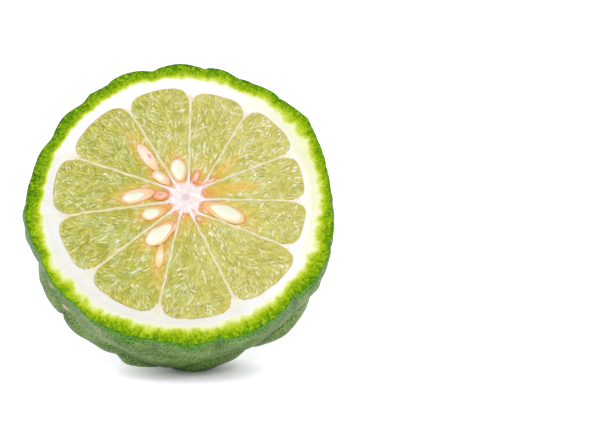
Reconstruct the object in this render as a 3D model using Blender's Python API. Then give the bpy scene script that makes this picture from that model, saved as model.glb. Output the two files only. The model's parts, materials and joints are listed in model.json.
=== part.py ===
"""Half of a knobbly green makrut lime, cut across and lying on three low lobes of its rind.

The fruit is described in its own frame, in millimetres: the cut lies in the plane z = 0 and faces +Z,
+X is to the right and +Y is up the cut face, and the rind bulges down to about z = -38.  The finished
pieces are tipped back on the table, so that the cut face looks forward (-Y) and up.
"""

import math
import random

import bmesh
import bpy
from mathutils import Matrix, Vector

MM = 0.001

# Size and pose of the half
BULGE_CENTRE = 4.0           # the widest level of the fruit lies this far behind the cut
BASE_WIDE = 30.5             # base ellipsoid's radius across, before its lobes
BASE_DEEP = 32.2             # and its radius in depth
FACE_RISE = math.radians(38.0)   # angle of the cut face's normal above the table
SINK = 1.0                   # the low lobes are pressed flat by this much

# Layers seen on the cut face
ZEST = 2.4                   # thickness of the green rind between its lobes
CUP_FOLLOW = 0.35            # share of the lobes' height that the inside of the rind follows
CUP_SHIFT = Vector((-0.2, 0.5, 0.0))   # the rind is thicker below the core than above it
FIT_GAP = 0.3                # clearance between pieces that touch in the fruit
MEMBRANE = 0.55              # white wall between two juice segments
CORE_CENTRE = Vector((0.9, 0.7, 0.0))
CORE_RADIUS = 3.7            # white core that the segments start from

# Lobes of the rind: direction round the face, latitude behind the widest level, half width, height
RIM_LOBES = (
    (10, 2, 11.0, 0.5), (36, 4, 11.0, 1.1), (56, 3, 6.5, 1.3), (75, 3, 5.0, 1.2), (90, 3, 6.8, 1.7),
    (110, 3, 6.0, 1.6), (124, 3, 4.5, 0.9), (141, 2, 5.2, 1.0), (156, 2, 4.2, 0.7), (170, 2, 6.0, 0.9),
    (189, 1, 7.0, 1.6), (214, 2, 9.0, 0.7), (245, 3, 10.0, 1.3), (272, 4, 9.0, 1.1),
    (300, 3, 12.0, 1.7), (328, 3, 10.0, 1.8), (348, 3, 8.0, 1.0),
)
SIDE_LOBES = (
    (8, -17, 8.0, 1.8), (38, -20, 9.5, 2.6), (68, -19, 9.0, 2.4), (98, -21, 9.5, 2.8), (128, -18, 8.5, 2.6),
    (152, -20, 7.5, 2.4), (177, -16, 8.5, 2.2), (204, -22, 9.0, 2.9), (226, -31, 10.0, 3.3),
    (317, -27, 10.5, 2.8), (343, -24, 9.0, 1.9), (262, -20, 11.0, 1.0), (294, -19, 11.0, 0.9),
)
LOW_LOBES = ((247, -42, 8.5, 3.4), (282, -35, 9.5, 2.8), (272, -62, 9.5, 4.2))
BACK_LOBES = (
    (205, -54, 8.5, 3.0), (328, -53, 9.0, 3.0), (2, -47, 9.0, 3.2), (34, -50, 9.0, 3.4), (66, -47, 9.0, 3.2),
    (97, -51, 8.5, 3.4), (130, -47, 9.0, 3.2), (166, -47, 9.0, 3.2), (20, -73, 7.5, 2.8),
    (100, -75, 7.5, 3.0), (175, -73, 7.5, 2.8),
)
LOBE_SHARPNESS = 2.2         # of the creases between lobes, per millimetre
WART_COUNT = 90              # small bumps all over the rind
WART_SIZE = (3.2, 5.0)       # range of their half width
WART_HEIGHT = (0.35, 0.75)   # and of their height
WART_SHARPNESS = 4.4
WART_SEED = 11

# Membranes: where each starts at the core and where it ends at the white rind
MEMBRANES = (
    ((4.0, 0.2), (24.0, -0.5)), ((4.5, 3.0), (21.5, 10.0)), ((4.5, 3.5), (13.5, 19.5)),
    ((1.5, 4.0), (2.2, 24.0)), ((-1.0, 3.3), (-10.0, 20.0)), ((-2.5, 2.8), (-21.0, 10.0)),
    ((-2.5, -0.3), (-23.5, -3.0)), ((-2.5, -2.8), (-17.8, -15.2)), ((-0.5, -4.0), (-4.5, -21.5)),
    ((2.3, -4.0), (9.5, -20.5)), ((3.5, -3.0), (20.5, -10.5)),
)
# Juice segments: each lies between a membrane and the next, out to its own radius from the core
SEGMENT_RADII = (24.4, 25.2, 24.7, 25.7, 25.9, 26.9, 26.6, 26.6, 26.7, 26.2, 24.7)
SEGMENT_ROUNDING = (5.0, 9.0)    # exponents of the round outer end and of the narrow tip
SEGMENT_DEPTH = 27.5
SEGMENT_LEVELS = (0.0, 0.3, 0.58, 0.8, 0.93)   # depths of the outline's rings, as shares
SEGMENT_TAIL = 1.2           # how far the blunt end bulges below the last ring
TIP_HALF_WIDTH = 0.3
SAC_RELIEF = 0.22            # height of the juice sacs on the cut face
SAC_RINGS = (0.78, 0.52, 0.26)   # rings of the relief, as shares of the outline
SAC_FANS = 34                # rows of sacs round the whole face
SAC_PACE = 1.1               # and their beat along the radius, in radians per millimetre

# Seeds: segment, centre, length, width and direction of each kernel in the cut face
SEEDS = (
    (4, (-0.6, 7.0), 4.8, 2.4, 97), (11, (8.7, -2.7), 7.3, 2.5, -26),
    (8, (-4.6, -7.5), 6.2, 2.7, 39), (7, (-5.9, -2.8), 3.4, 1.9, 17),
    (6, (-9.3, 1.2), 5.0, 1.9, 14), (5, (-4.2, 5.3), 2.8, 1.4, -40),
    (5, (-6.9, 10.1), 5.8, 1.8, -57), (8, (-4.7, -12.8), 4.4, 1.3, 82),
)
SEED_CROWN = 0.35            # the wet kernels stand this far out of the cut
SEED_TAPER = 0.22            # and are this much slimmer at the end near the core
POCKET_LIFT = 1.0            # cutters of the pockets reach this far out of the cut

# Mesh density
SKIN_COLUMNS, SKIN_ROWS = 88, 44
CUP_COLUMNS, CUP_ROWS = 40, 22
SEED_COLUMNS, SEED_ROWS = 10, 7
SEGMENT_POINTS = 20

FINISHES = {
    "rind": ((0.105, 0.215, 0.030), 0.45),
    "pith": ((0.900, 0.910, 0.780), 0.50),
    "pulp": ((0.560, 0.570, 0.150), 0.18),
    "seed": ((0.870, 0.850, 0.660), 0.35),
}


def clear_scene():
    """Remove the objects of the scene that is open."""
    for item in list(bpy.data.objects):
        bpy.data.objects.remove(item, do_unlink=True)


def make_material(name):
    """Return the finish of one layer of the fruit."""
    colour, roughness = FINISHES[name]
    material = bpy.data.materials.new(name)
    material.use_nodes = True
    shader = material.node_tree.nodes["Principled BSDF"]
    shader.inputs["Base Color"].default_value = (*colour, 1.0)
    shader.inputs["Roughness"].default_value = roughness
    shader.inputs["Metallic"].default_value = 0.0
    return material


def direction(around, latitude):
    """Return the unit vector at two angles in degrees; latitude 90 faces out of the cut."""
    turn, rise = math.radians(around), math.radians(latitude)
    return Vector((math.cos(turn) * math.cos(rise), math.sin(turn) * math.cos(rise), math.sin(rise)))


def place_warts():
    """Scatter the small bumps on a spiral: each has a direction, a half width and a height."""
    draw = random.Random(WART_SEED)
    golden = math.pi * (3.0 - math.sqrt(5.0))
    warts = []
    for index in range(WART_COUNT):
        height = 0.2 - 1.2 * (index + 0.5) / WART_COUNT
        turn = index * golden + draw.uniform(-0.25, 0.25)
        flat = math.sqrt(1.0 - height * height)
        place = Vector((flat * math.cos(turn), flat * math.sin(turn), height))
        warts.append((place, draw.uniform(*WART_SIZE), draw.uniform(*WART_HEIGHT)))
    return warts


LOBES = [
    (direction(around, latitude), width, height)
    for around, latitude, width, height in RIM_LOBES + SIDE_LOBES + LOW_LOBES + BACK_LOBES
]
WARTS = place_warts()


def blend_domes(unit, domes, sharpness):
    """Return the height of round domes over the base at a direction, creased where two domes meet."""
    total = 1.0
    for place, width, height in domes:
        arc = BASE_WIDE * math.acos(max(-1.0, min(1.0, unit.dot(place))))
        total += math.exp(sharpness * height * (1.0 - (arc / width) ** 2))
    return math.log(total) / sharpness


def base_radius(unit, shrink=0.0):
    """Return the base ellipsoid's radius in a direction, shrunk all round."""
    flat = (unit.x ** 2 + unit.y ** 2) / (BASE_WIDE - shrink) ** 2
    return 1.0 / math.sqrt(flat + unit.z ** 2 / (BASE_DEEP - shrink) ** 2)


def skin_point(unit):
    """Return the point of the outer skin in a direction from the fruit's widest level."""
    relief = blend_domes(unit, LOBES, LOBE_SHARPNESS) + blend_domes(unit, WARTS, WART_SHARPNESS)
    return unit * (base_radius(unit) + relief) - Vector((0.0, 0.0, BULGE_CENTRE))


def cup_point(unit, inset):
    """Return the point inside the green layer, which follows the lobes a little."""
    follow = CUP_FOLLOW * blend_domes(unit, LOBES, LOBE_SHARPNESS)
    return unit * (base_radius(unit, inset) + follow) + CUP_SHIFT - Vector((0.0, 0.0, BULGE_CENTRE))


def closed_globe(columns, rows, place):
    """Return a bmesh globe whose every point is put where a function of its direction says."""
    mesh = bmesh.new()
    bmesh.ops.create_uvsphere(mesh, u_segments=columns, v_segments=rows, radius=1.0)
    for vert in mesh.verts:
        vert.co = place(vert.co.normalized())
    return mesh


def cut_closed(mesh, point, normal):
    """Cut a closed bmesh with a plane, drop the side that the normal faces and close the cut."""
    geometry = mesh.verts[:] + mesh.edges[:] + mesh.faces[:]
    bmesh.ops.bisect_plane(mesh, geom=geometry, plane_co=point, plane_no=normal, clear_outer=True)
    rim = [edge for edge in mesh.edges if edge.is_boundary]
    bmesh.ops.holes_fill(mesh, edges=rim, sides=0)


def tipped_frame(skin):
    """Return the matrix from the fruit's frame to the table's, in metres.

    The cut skin is tipped back, sunk a little and centred, so the origin is below its middle.
    """
    tip = Matrix.Rotation(math.pi / 2 - FACE_RISE, 4, "X")
    spots = [tip @ vert.co for vert in skin.verts]
    lowest, highest = (Vector([pick(axis) for axis in zip(*spots)]) for pick in (min, max))
    middle = (lowest + highest) / 2
    place = Matrix.Translation((-middle.x, -middle.y, -lowest.z - SINK))
    return Matrix.Scale(MM, 4) @ place @ tip


def add_object(name, mesh, material, parent, frame):
    """Turn a bmesh in the fruit's frame into a named object under the parent."""
    bmesh.ops.transform(mesh, matrix=frame, verts=mesh.verts)
    bmesh.ops.recalc_face_normals(mesh, faces=mesh.faces)
    data = bpy.data.meshes.new(name)
    mesh.to_mesh(data)
    mesh.free()
    item = bpy.data.objects.new(name, data)
    bpy.context.scene.collection.objects.link(item)
    item.parent = parent
    if material is not None:
        data.materials.append(material)
    return item


def cut_with(item, cutter):
    """Take a cutter's shape out of an object, and keep the cutter as a guide."""
    cutter.hide_render = True
    cutter.display_type = "WIRE"
    cut = item.modifiers.new("cut_" + cutter.name, "BOOLEAN")
    cut.operation = "DIFFERENCE"
    cut.solver = "EXACT"
    cut.object = cutter


def membrane_angle(index, radius):
    """Return the direction from the core in which a straight membrane passes a radius."""
    start, end = (Vector((*spot, 0.0)) for spot in MEMBRANES[index % len(MEMBRANES)])
    along = (end - start).normalized()
    offset = along.cross(start - CORE_CENTRE).z
    return math.atan2(along.y, along.x) + math.asin(offset / radius)


def half_opening(index, radius):
    """Return half the angle between a segment's two membranes at a radius from the core."""
    turn = membrane_angle(index + 1, radius) - membrane_angle(index, radius)
    return ((turn + math.pi) % (2 * math.pi) - math.pi) / 2


def inner_radius(index):
    """Return the radius at which a segment's tip is wide enough to hold flesh."""
    radius = CORE_RADIUS
    while radius * half_opening(index, radius) < MEMBRANE / 2 + FIT_GAP + TIP_HALF_WIDTH:
        radius += 0.05
    return radius


def segment_outline(index, depth, grow):
    """Return the outline of one juice segment at a depth, as points in the fruit's frame.

    The segment is a wedge with a round outer end: a superellipse in the polar coordinates of the core.
    """
    level = (depth - BULGE_CENTRE) / (SEGMENT_DEPTH + grow - BULGE_CENTRE)
    at_cut = BULGE_CENTRE / (SEGMENT_DEPTH - BULGE_CENTRE)
    shrink = math.sqrt((1.0 - level * level) / (1.0 - at_cut * at_cut))
    outer = (SEGMENT_RADII[index] + grow) * shrink
    inner = inner_radius(index) - grow
    wall = MEMBRANE / 2 + FIT_GAP - grow
    points = []
    for step in range(SEGMENT_POINTS):
        turn = 2 * math.pi * step / SEGMENT_POINTS
        power = 2.0 / SEGMENT_ROUNDING[math.cos(turn) < 0]
        across = math.copysign(abs(math.sin(turn)) ** power, math.sin(turn))
        along = math.copysign(abs(math.cos(turn)) ** power, math.cos(turn))
        radius = inner + (outer - inner) * (1.0 + along) / 2
        half = half_opening(index, radius)
        side = max(half - wall / radius, (TIP_HALF_WIDTH + grow) / radius)
        angle = membrane_angle(index, radius) + half + across * side
        spot = Vector((radius * math.cos(angle), radius * math.sin(angle), -depth))
        points.append(spot + CORE_CENTRE)
    return points


def sac_height(point):
    """Return the height of the coarse juice-sac relief at a point of the cut face."""
    reach = point - CORE_CENTRE
    radius, turn = math.hypot(reach.x, reach.y), math.atan2(reach.y, reach.x)
    row = math.sin(SAC_FANS * turn + math.sin(radius))
    return SAC_RELIEF * row * math.cos(SAC_PACE * radius + 5 * math.sin(3 * turn))


def bridge(mesh, upper, lower):
    """Join two rings of equal count with a band of quads."""
    for step in range(len(upper)):
        after = (step + 1) % len(upper)
        mesh.faces.new((upper[step], lower[step], lower[after], upper[after]))


def close_ring(mesh, ring, drop):
    """Close a ring with a fan to its middle, which lies lower by the drop."""
    middle = sum((vert.co for vert in ring), Vector()) / len(ring)
    tip = mesh.verts.new(middle - Vector((0.0, 0.0, drop)))
    for step, vert in enumerate(ring):
        mesh.faces.new((vert, tip, ring[(step + 1) % len(ring)]))


def segment_bag(index, grow):
    """Return one segment's bag, open at the cut face, and the ring of its mouth."""
    mesh = bmesh.new()
    rings = []
    for share in SEGMENT_LEVELS:
        outline = segment_outline(index, share * (SEGMENT_DEPTH + grow), grow)
        rings.append([mesh.verts.new(point) for point in outline])
    for upper, lower in zip(rings, rings[1:]):
        bridge(mesh, upper, lower)
    close_ring(mesh, rings[-1], SEGMENT_TAIL)
    return mesh, rings[0]


def segment_flesh(index):
    """Return one juice segment, with the coarse relief of its juice sacs on the cut face."""
    mesh, mouth = segment_bag(index, 0.0)
    centre = sum((vert.co for vert in mouth), Vector()) / len(mouth)
    edge = mouth
    for share in SAC_RINGS:
        inset = []
        for vert in mouth:
            spot = centre + (vert.co - centre) * share
            spot.z = sac_height(spot)
            inset.append(mesh.verts.new(spot))
        bridge(mesh, inset, edge)
        edge = inset
    close_ring(mesh, edge, 0.0)
    return mesh


def segment_pocket(index):
    """Return the cutter for the pocket that a juice segment lies in."""
    mesh, mouth = segment_bag(index, FIT_GAP)
    for vert in mouth:
        vert.co.z = POCKET_LIFT
    mesh.faces.new(mouth)
    return mesh


def kernel(seed, grow):
    """Return a kernel: an egg lying in the cut, slim towards the core, with a low wet crown."""
    _, centre, length, width, turn = seed
    mesh = bmesh.new()
    bmesh.ops.create_uvsphere(mesh, u_segments=SEED_COLUMNS, v_segments=SEED_ROWS, radius=1.0)
    spin = Matrix.Rotation(math.radians(turn), 4, "Z")
    middle = Vector((*centre, 0.0))
    inward = math.copysign(1.0, (spin @ Vector((1.0, 0.0, 0.0))).dot(CORE_CENTRE - middle))
    for vert in mesh.verts:
        along, across, up = vert.co.z, vert.co.x, vert.co.y
        half_width = (width / 2 + grow) * (1.0 - SEED_TAPER * along * inward)
        half_height = (SEED_CROWN if up > 0 else width / 2) + grow
        vert.co = (along * (length / 2 + grow), across * half_width, up * half_height)
    bmesh.ops.transform(mesh, matrix=Matrix.Translation(middle) @ spin, verts=mesh.verts)
    return mesh


def build():
    """Build the half: rind, pith, juice segments and seeds."""
    clear_scene()
    materials = {name: make_material(name) for name in FINISHES}
    half = bpy.data.objects.new("lime_half", None)
    bpy.context.scene.collection.objects.link(half)

    cut_plane = (Vector(), Vector((0.0, 0.0, 1.0)))
    skin = closed_globe(SKIN_COLUMNS, SKIN_ROWS, skin_point)
    cut_closed(skin, *cut_plane)
    frame = tipped_frame(skin)
    table_to_fruit = frame.inverted()
    table_down = (table_to_fruit.to_3x3() @ Vector((0.0, 0.0, -1.0))).normalized()
    cut_closed(skin, table_to_fruit.translation, table_down)
    rind = add_object("rind", skin, materials["rind"], half, frame)
    hollow = closed_globe(CUP_COLUMNS, CUP_ROWS, lambda unit: cup_point(unit, ZEST))
    cut_with(rind, add_object("rind_hollow", hollow, None, half, frame))

    white = closed_globe(CUP_COLUMNS, CUP_ROWS, lambda unit: cup_point(unit, ZEST + FIT_GAP))
    cut_closed(white, *cut_plane)
    pith = add_object("pith", white, materials["pith"], half, frame)
    segments = []
    for index in range(len(MEMBRANES)):
        name = f"{index + 1:02d}"
        cut_with(pith, add_object("pocket_" + name, segment_pocket(index), None, half, frame))
        flesh = segment_flesh(index)
        segments.append(add_object("pulp_" + name, flesh, materials["pulp"], half, frame))
    for number, seed in enumerate(SEEDS, start=1):
        bed = add_object(f"bed_{number:02d}", kernel(seed, FIT_GAP), None, half, frame)
        cut_with(segments[seed[0] - 1], bed)
        add_object(f"seed_{number:02d}", kernel(seed, 0.0), materials["seed"], half, frame)


build()
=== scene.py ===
"""Half of a makrut lime, cut across and lying tipped back with its wet cut face to the camera.

Every piece is modelled in the fruit's own frame, in millimetres: the cut is the plane z = 0 and faces
+Z, +X is to the right and +Y is up the cut face.  One matrix then tips the pieces onto the table.
"""

import json
import logging
import math
from collections.abc import Callable
from dataclasses import dataclass, field
from enum import Enum
from functools import partial

import bmesh
import bpy
import numpy as np
from mathutils import Matrix, Vector


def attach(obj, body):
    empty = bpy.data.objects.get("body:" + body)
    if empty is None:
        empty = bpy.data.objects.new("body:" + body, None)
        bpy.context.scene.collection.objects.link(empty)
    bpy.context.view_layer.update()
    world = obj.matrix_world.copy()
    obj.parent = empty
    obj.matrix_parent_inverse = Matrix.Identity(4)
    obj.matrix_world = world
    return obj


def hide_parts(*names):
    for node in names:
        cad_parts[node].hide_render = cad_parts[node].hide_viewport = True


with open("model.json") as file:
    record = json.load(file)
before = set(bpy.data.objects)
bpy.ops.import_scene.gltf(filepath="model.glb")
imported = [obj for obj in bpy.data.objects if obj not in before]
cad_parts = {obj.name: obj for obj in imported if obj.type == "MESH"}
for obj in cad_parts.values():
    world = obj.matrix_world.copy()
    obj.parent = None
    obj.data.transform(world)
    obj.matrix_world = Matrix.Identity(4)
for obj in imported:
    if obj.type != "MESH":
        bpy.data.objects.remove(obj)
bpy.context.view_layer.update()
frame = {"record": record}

LOG = logging.getLogger("lime_half")
MM = 0.001
WELD = 0.001    # millimetres, below which two vertices are one
SHARP = math.radians(55.0)
KNIFE_WAVES = ((0.025, 0.9, 0.5, 0.0), (0.02, -0.6, 1.7, 1.0))    # height, paces right and up, phase
PITH_CLOUD = 3.84615    # millimetres across the whiter and creamier patches of the pith


class Slot(Enum):
    """The record's material slots."""

    RIND = "rind"
    PITH = "pith"
    PULP = "pulp"
    SEED = "seed"


class Tissue(Enum):
    """The kinds of seed tissue that show in the cut."""

    KERNEL = "kernel"    # firm and cream-white
    COAT = "coat"    # tough and yellow round a large kernel, orange at its edge
    PEACH = "peach"    # softer and pinker round a small one
    EMPTY = "empty"    # a long coat that never filled
    ABORTED = "aborted"
    OVULE = "ovule"
    SORE = "sore"    # reddish, inside an ovule or a coat


def srgb(code: str) -> tuple[float, float, float, float]:
    """Turn an sRGB hex value into a linear colour.

    Args:
        code: Six hex digits, with or without a leading hash.

    Returns:
        Linear red, green and blue, and an alpha of 1.
    """
    digits = code.lstrip("#")
    parts = [int(digits[at:at + 2], 16) / 255 for at in (0, 2, 4)]
    linear = [part / 12.92 if part <= 0.04045 else ((part + 0.055) / 1.055) ** 2.4 for part in parts]
    return (*linear, 1.0)


def feed(tree: bpy.types.NodeTree, node: bpy.types.Node, inputs: dict) -> None:
    """Set or link a node's inputs.

    Args:
        tree: The node tree.
        node: The node whose inputs are fed.
        inputs: Socket name or number to a value, an sRGB hex colour, an output socket, or a node whose
            first live output is meant.
    """
    for name, value in inputs.items():
        if isinstance(value, bpy.types.Node):
            value = next(socket for socket in value.outputs if socket.enabled)
        if isinstance(value, bpy.types.NodeSocket):
            tree.links.new(value, node.inputs[name])
        else:
            node.inputs[name].default_value = srgb(value) if isinstance(value, str) else value


def add_node(
    tree: bpy.types.NodeTree,
    kind: str,
    inputs: dict | None = None,
    stops: dict[float, str] | None = None,
    **settings: object,
) -> bpy.types.Node:
    """Add one node with its settings and links.

    Args:
        tree: The node tree.
        kind: The node's type, without the leading "ShaderNode".
        inputs: What its inputs get, as in feed.
        stops: For a colour ramp, position to sRGB hex colour.
        settings: Properties to set on the node.

    Returns:
        The new node.
    """
    node = tree.nodes.new("ShaderNode" + kind)
    for name, value in settings.items():
        setattr(node, name, value)
    if stops:
        ramp = node.color_ramp.elements
        while len(ramp) < len(stops):
            ramp.new(0.5)
        for element, (position, code) in zip(ramp, sorted(stops.items())):
            element.position = position
            element.color = srgb(code)
    feed(tree, node, inputs or {})
    return node


def pattern_scale(size: float) -> float:
    """Return the scale that makes a pattern's spots a size in millimetres on Object coordinates."""
    return 1.0 / (size * MM)


def smooth(low: float, high: float, value: np.ndarray) -> np.ndarray:
    """Return 0 below low, 1 above high and a smooth step between them."""
    share = np.clip((value - low) / (high - low), 0.0, 1.0)
    return share * share * (3.0 - 2.0 * share)


def bell(away: np.ndarray, width: float) -> np.ndarray:
    """Return 1 where a distance is 0, falling away smoothly over a width."""
    return np.exp(-((away / width) ** 2))


def cut_waves(x: np.ndarray, y: np.ndarray) -> np.ndarray:
    """Return the small waves that the knife left in the cut face, in millimetres."""
    return sum(high * np.sin(right * x + up * y + phase) for high, right, up, phase in KNIFE_WAVES)


@dataclass(frozen=True)
class Domes:
    """Round domes on a ball: directions, half widths and heights, in millimetres."""

    places: np.ndarray
    widths: np.ndarray
    heights: np.ndarray
    sharpness: float

    def rises(self, units: np.ndarray, radius: float) -> np.ndarray:
        """Return every dome's own height over the base, one row a direction, negative off the dome."""
        arc = radius * np.arccos(np.clip(units @ self.places.T, -1.0, 1.0))
        return self.heights * (1.0 - (arc / self.widths) ** 2)

    def height(self, units: np.ndarray, radius: float) -> np.ndarray:
        """Return the domes' height over the base, creased where two domes meet.

        Args:
            units: Unit directions, one a row.
            radius: The ball's radius, for arc lengths.

        Returns:
            One height for each direction.
        """
        found = []
        for part in np.array_split(units, max(1, len(units) // 20000)):
            rise = self.sharpness * self.rises(part, radius)
            found.append(np.log(1.0 + np.exp(rise).sum(axis=1)) / self.sharpness)
        return np.concatenate(found)

    def creases(self, units: np.ndarray, radius: float, width: float) -> np.ndarray:
        """Return 1 in the crease between two domes and 0 away from it.

        Args:
            units: Unit directions, one a row.
            radius: The ball's radius, for arc lengths.
            width: Difference in the two domes' heights over which the crease fades.

        Returns:
            One number for each direction.
        """
        top = np.sort(self.rises(units, radius), axis=1)[:, -2:]
        return bell(top[:, 1] - top[:, 0], width) * smooth(0.0, 0.8, top[:, 0])


@dataclass(frozen=True)
class Folds:
    """Thin wandering folds of the skin: the lines where a smooth random wave over the ball is zero."""

    seed: int
    count: int = 7    # waves that are added up
    pace: float = 8.0    # radians of wave for each radian round the ball
    shown: float = 0.35    # the higher, the fewer folds are left

    def distance(self, units: np.ndarray, radius: float) -> tuple[np.ndarray, np.ndarray]:
        """Return how far each direction is from a fold.

        Args:
            units: Unit directions, one a row.
            radius: The ball's radius, for arc lengths.

        Returns:
            A distance with a sign for the side of the fold, and a number from 0 where the fold has died
            away to 1 where it is full.
        """
        draw = np.random.default_rng(self.seed)
        ways = draw.normal(0.0, 1.0, (self.count, 3))
        length = draw.uniform(0.5, 1.2, self.count) / np.linalg.norm(ways, axis=1)
        ways *= self.pace * length[:, None]
        phase = units @ ways.T + draw.uniform(0.0, 2 * math.pi, self.count)
        slope = np.cos(phase) @ ways
        slope -= units * (slope * units).sum(axis=1)[:, None]
        steep = np.linalg.norm(slope, axis=1)
        away = radius * np.sin(phase).sum(axis=1) / np.maximum(steep, 0.25 * self.pace)
        alive = np.sin(0.6 * phase[:, ::-1] @ np.ones(self.count) / 2.0 + self.seed)
        return away, smooth(self.shown, self.shown + 0.5, alive) * smooth(0.6, 1.2, steep / self.pace)


def unit_vectors(turn: np.ndarray, rise: np.ndarray) -> np.ndarray:
    """Return unit vectors from the angle round the cut face and the latitude, both in radians."""
    flat = np.cos(rise)
    return np.stack([np.cos(turn) * flat, np.sin(turn) * flat, np.sin(rise)], axis=1)


def scattered_domes(count: int, width: tuple, height: tuple, sharpness: float, seed: int) -> Domes:
    """Scatter domes on a spiral over the part of the ball that the half keeps.

    Args:
        count: Number of domes.
        width: Range of their half widths.
        height: Range of their heights.
        sharpness: Sharpness of the creases between them, per millimetre.
        seed: Seed of the random draws.

    Returns:
        The domes.
    """
    draw = np.random.default_rng(seed)
    golden = math.pi * (3.0 - math.sqrt(5.0))
    index = np.arange(count)
    level = 0.25 - 1.25 * (index + 0.5) / count
    turn = index * golden + draw.uniform(-0.3, 0.3, count)
    return Domes(
        unit_vectors(turn, np.arcsin(level)),
        draw.uniform(*width, count),
        draw.uniform(*height, count),
        sharpness,
    )


@dataclass(frozen=True)
class Fruit:
    """Sizes of the half, in millimetres, as the CAD solids have them.

    A lobe has its degrees round the cut face, its latitude in degrees, its half width and its height.  A
    membrane has the two places on the cut face that it passes through.
    """

    bulge_centre: float = 4.0    # the bulge's middle is this far behind the cut
    base_wide: float = 30.5    # radius under the lobes, along the cut
    base_deep: float = 32.2    # and towards the fruit's end
    face_rise: float = math.radians(38.0)    # of the cut face's normal over the table
    zest: float = 2.4
    cup_follow: float = 0.35    # share of the lobes' height that the inside has
    cup_shift: tuple[float, float] = (-0.2, 0.5)
    core: tuple[float, float] = (0.9, 0.7)
    core_radius: float = 3.7
    membrane: float = 0.5    # thickness
    fit_gap: float = 0.3    # between the solids of a segment and a membrane
    tip_half_width: float = 0.3
    segment_depth: float = 27.5
    rim_lobes: tuple = (
        (10, 2, 11.0, 0.5), (36, 4, 11.0, 1.1), (56, 3, 6.5, 1.3), (75, 3, 5.0, 1.2), (90, 3, 6.8, 1.7),
        (110, 3, 6.0, 1.6), (124, 3, 4.5, 0.9), (141, 2, 5.2, 1.0), (156, 2, 4.2, 0.7), (170, 2, 6.0, 0.9),
        (189, 1, 7.0, 1.6), (214, 2, 9.0, 0.7), (245, 3, 10.0, 1.3), (272, 4, 9.0, 1.1),
        (300, 3, 12.0, 1.7), (328, 3, 10.0, 1.8), (348, 3, 8.0, 1.0),
    )
    side_lobes: tuple = (
        (8, -17, 8.0, 1.8), (38, -20, 9.5, 2.6), (68, -19, 9.0, 2.4), (98, -21, 9.5, 2.8),
        (128, -18, 8.5, 2.6), (152, -20, 7.5, 2.4), (177, -16, 8.5, 2.2), (204, -22, 9.0, 2.9),
        (226, -31, 10.0, 3.3), (317, -27, 10.5, 2.8), (343, -24, 9.0, 1.9), (262, -20, 11.0, 1.0),
        (294, -19, 11.0, 0.9),
    )
    low_lobes: tuple = ((247, -42, 8.5, 3.4), (282, -35, 9.5, 2.8), (272, -62, 9.5, 4.2))
    back_lobes: tuple = (
        (205, -54, 8.5, 3.0), (328, -53, 9.0, 3.0), (2, -47, 9.0, 3.2), (34, -50, 9.0, 3.4),
        (66, -47, 9.0, 3.2), (97, -51, 8.5, 3.4), (130, -47, 9.0, 3.2), (166, -47, 9.0, 3.2),
        (20, -73, 7.5, 2.8), (100, -75, 7.5, 3.0), (175, -73, 7.5, 2.8),
    )
    membranes: tuple = (
        ((4.0, 0.2), (24.0, -0.5)), ((4.5, 3.0), (21.5, 10.0)), ((4.5, 3.5), (13.5, 19.5)),
        ((1.5, 4.0), (2.2, 24.0)), ((-1.0, 3.3), (-10.0, 20.0)), ((-2.5, 2.8), (-21.0, 10.0)),
        ((-2.5, -0.3), (-23.5, -3.0)), ((-2.5, -2.8), (-17.8, -15.2)), ((-0.5, -4.0), (-4.5, -21.5)),
        ((2.3, -4.0), (9.5, -20.5)), ((3.5, -3.0), (20.5, -10.5)),
    )
    segment_radii: tuple = (24.4, 25.2, 24.7, 25.7, 25.9, 26.9, 26.6, 26.6, 26.7, 26.2, 24.7)
    rounding: tuple = (5.0, 9.0)    # powers of the round outer end and of the tip
    wobbles: tuple = ((0.06, 1.1, 2.3), (0.03, 2.6, 1.0))    # of the membranes: width, pace, phase

    def matrix(self) -> Matrix:
        """Work out the matrix from the fruit's millimetres to the table's metres.

        Returns:
            The matrix, which puts the middle of the core on the record's mount on the cut face.
        """
        mounts = {mount["name"]: mount["pos_m"] for mount in frame["record"]["mounts"]}
        core = Matrix.Translation(Vector(mounts["cut_face"]))
        tip = Matrix.Rotation(math.pi / 2 - self.face_rise, 4, "X")
        return core @ tip @ Matrix.Scale(MM, 4) @ Matrix.Translation((-self.core[0], -self.core[1], 0.0))

    def lobes(self) -> Domes:
        """Gather the rind's large lobes.

        Returns:
            The lobes, with soft creases between them.
        """
        rows = np.array(self.rim_lobes + self.side_lobes + self.low_lobes + self.back_lobes)
        places = unit_vectors(np.radians(rows[:, 0]), np.radians(rows[:, 1]))
        return Domes(places, rows[:, 2], rows[:, 3], sharpness=3.0)

    def base_radius(self, units: np.ndarray, shrink: float = 0.0) -> np.ndarray:
        """Return the base ellipsoid's radius in each direction, shrunk all round."""
        flat = (units[:, 0] ** 2 + units[:, 1] ** 2) / (self.base_wide - shrink) ** 2
        return 1.0 / np.sqrt(flat + units[:, 2] ** 2 / (self.base_deep - shrink) ** 2)

    def membrane_angle(self, index: int, radius: np.ndarray) -> np.ndarray:
        """Follow one membrane outwards; it is straight, but for a slight wobble.

        Args:
            index: The membrane's number.
            radius: Distances from the core.

        Returns:
            The direction from the core in which the membrane passes each distance.
        """
        index %= len(self.membranes)
        start, end = (np.array(spot) for spot in self.membranes[index])
        along = (end - start) / np.linalg.norm(end - start)
        reach = start - np.array(self.core)
        offset = along[0] * reach[1] - along[1] * reach[0]
        wobble = sum(wide * np.sin(pace * radius + phase * index) for wide, pace, phase in self.wobbles)
        offset = (offset + wobble * smooth(5.0, 8.0, radius)) / radius
        return math.atan2(along[1], along[0]) + np.arcsin(np.clip(offset, -0.9, 0.9))

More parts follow.
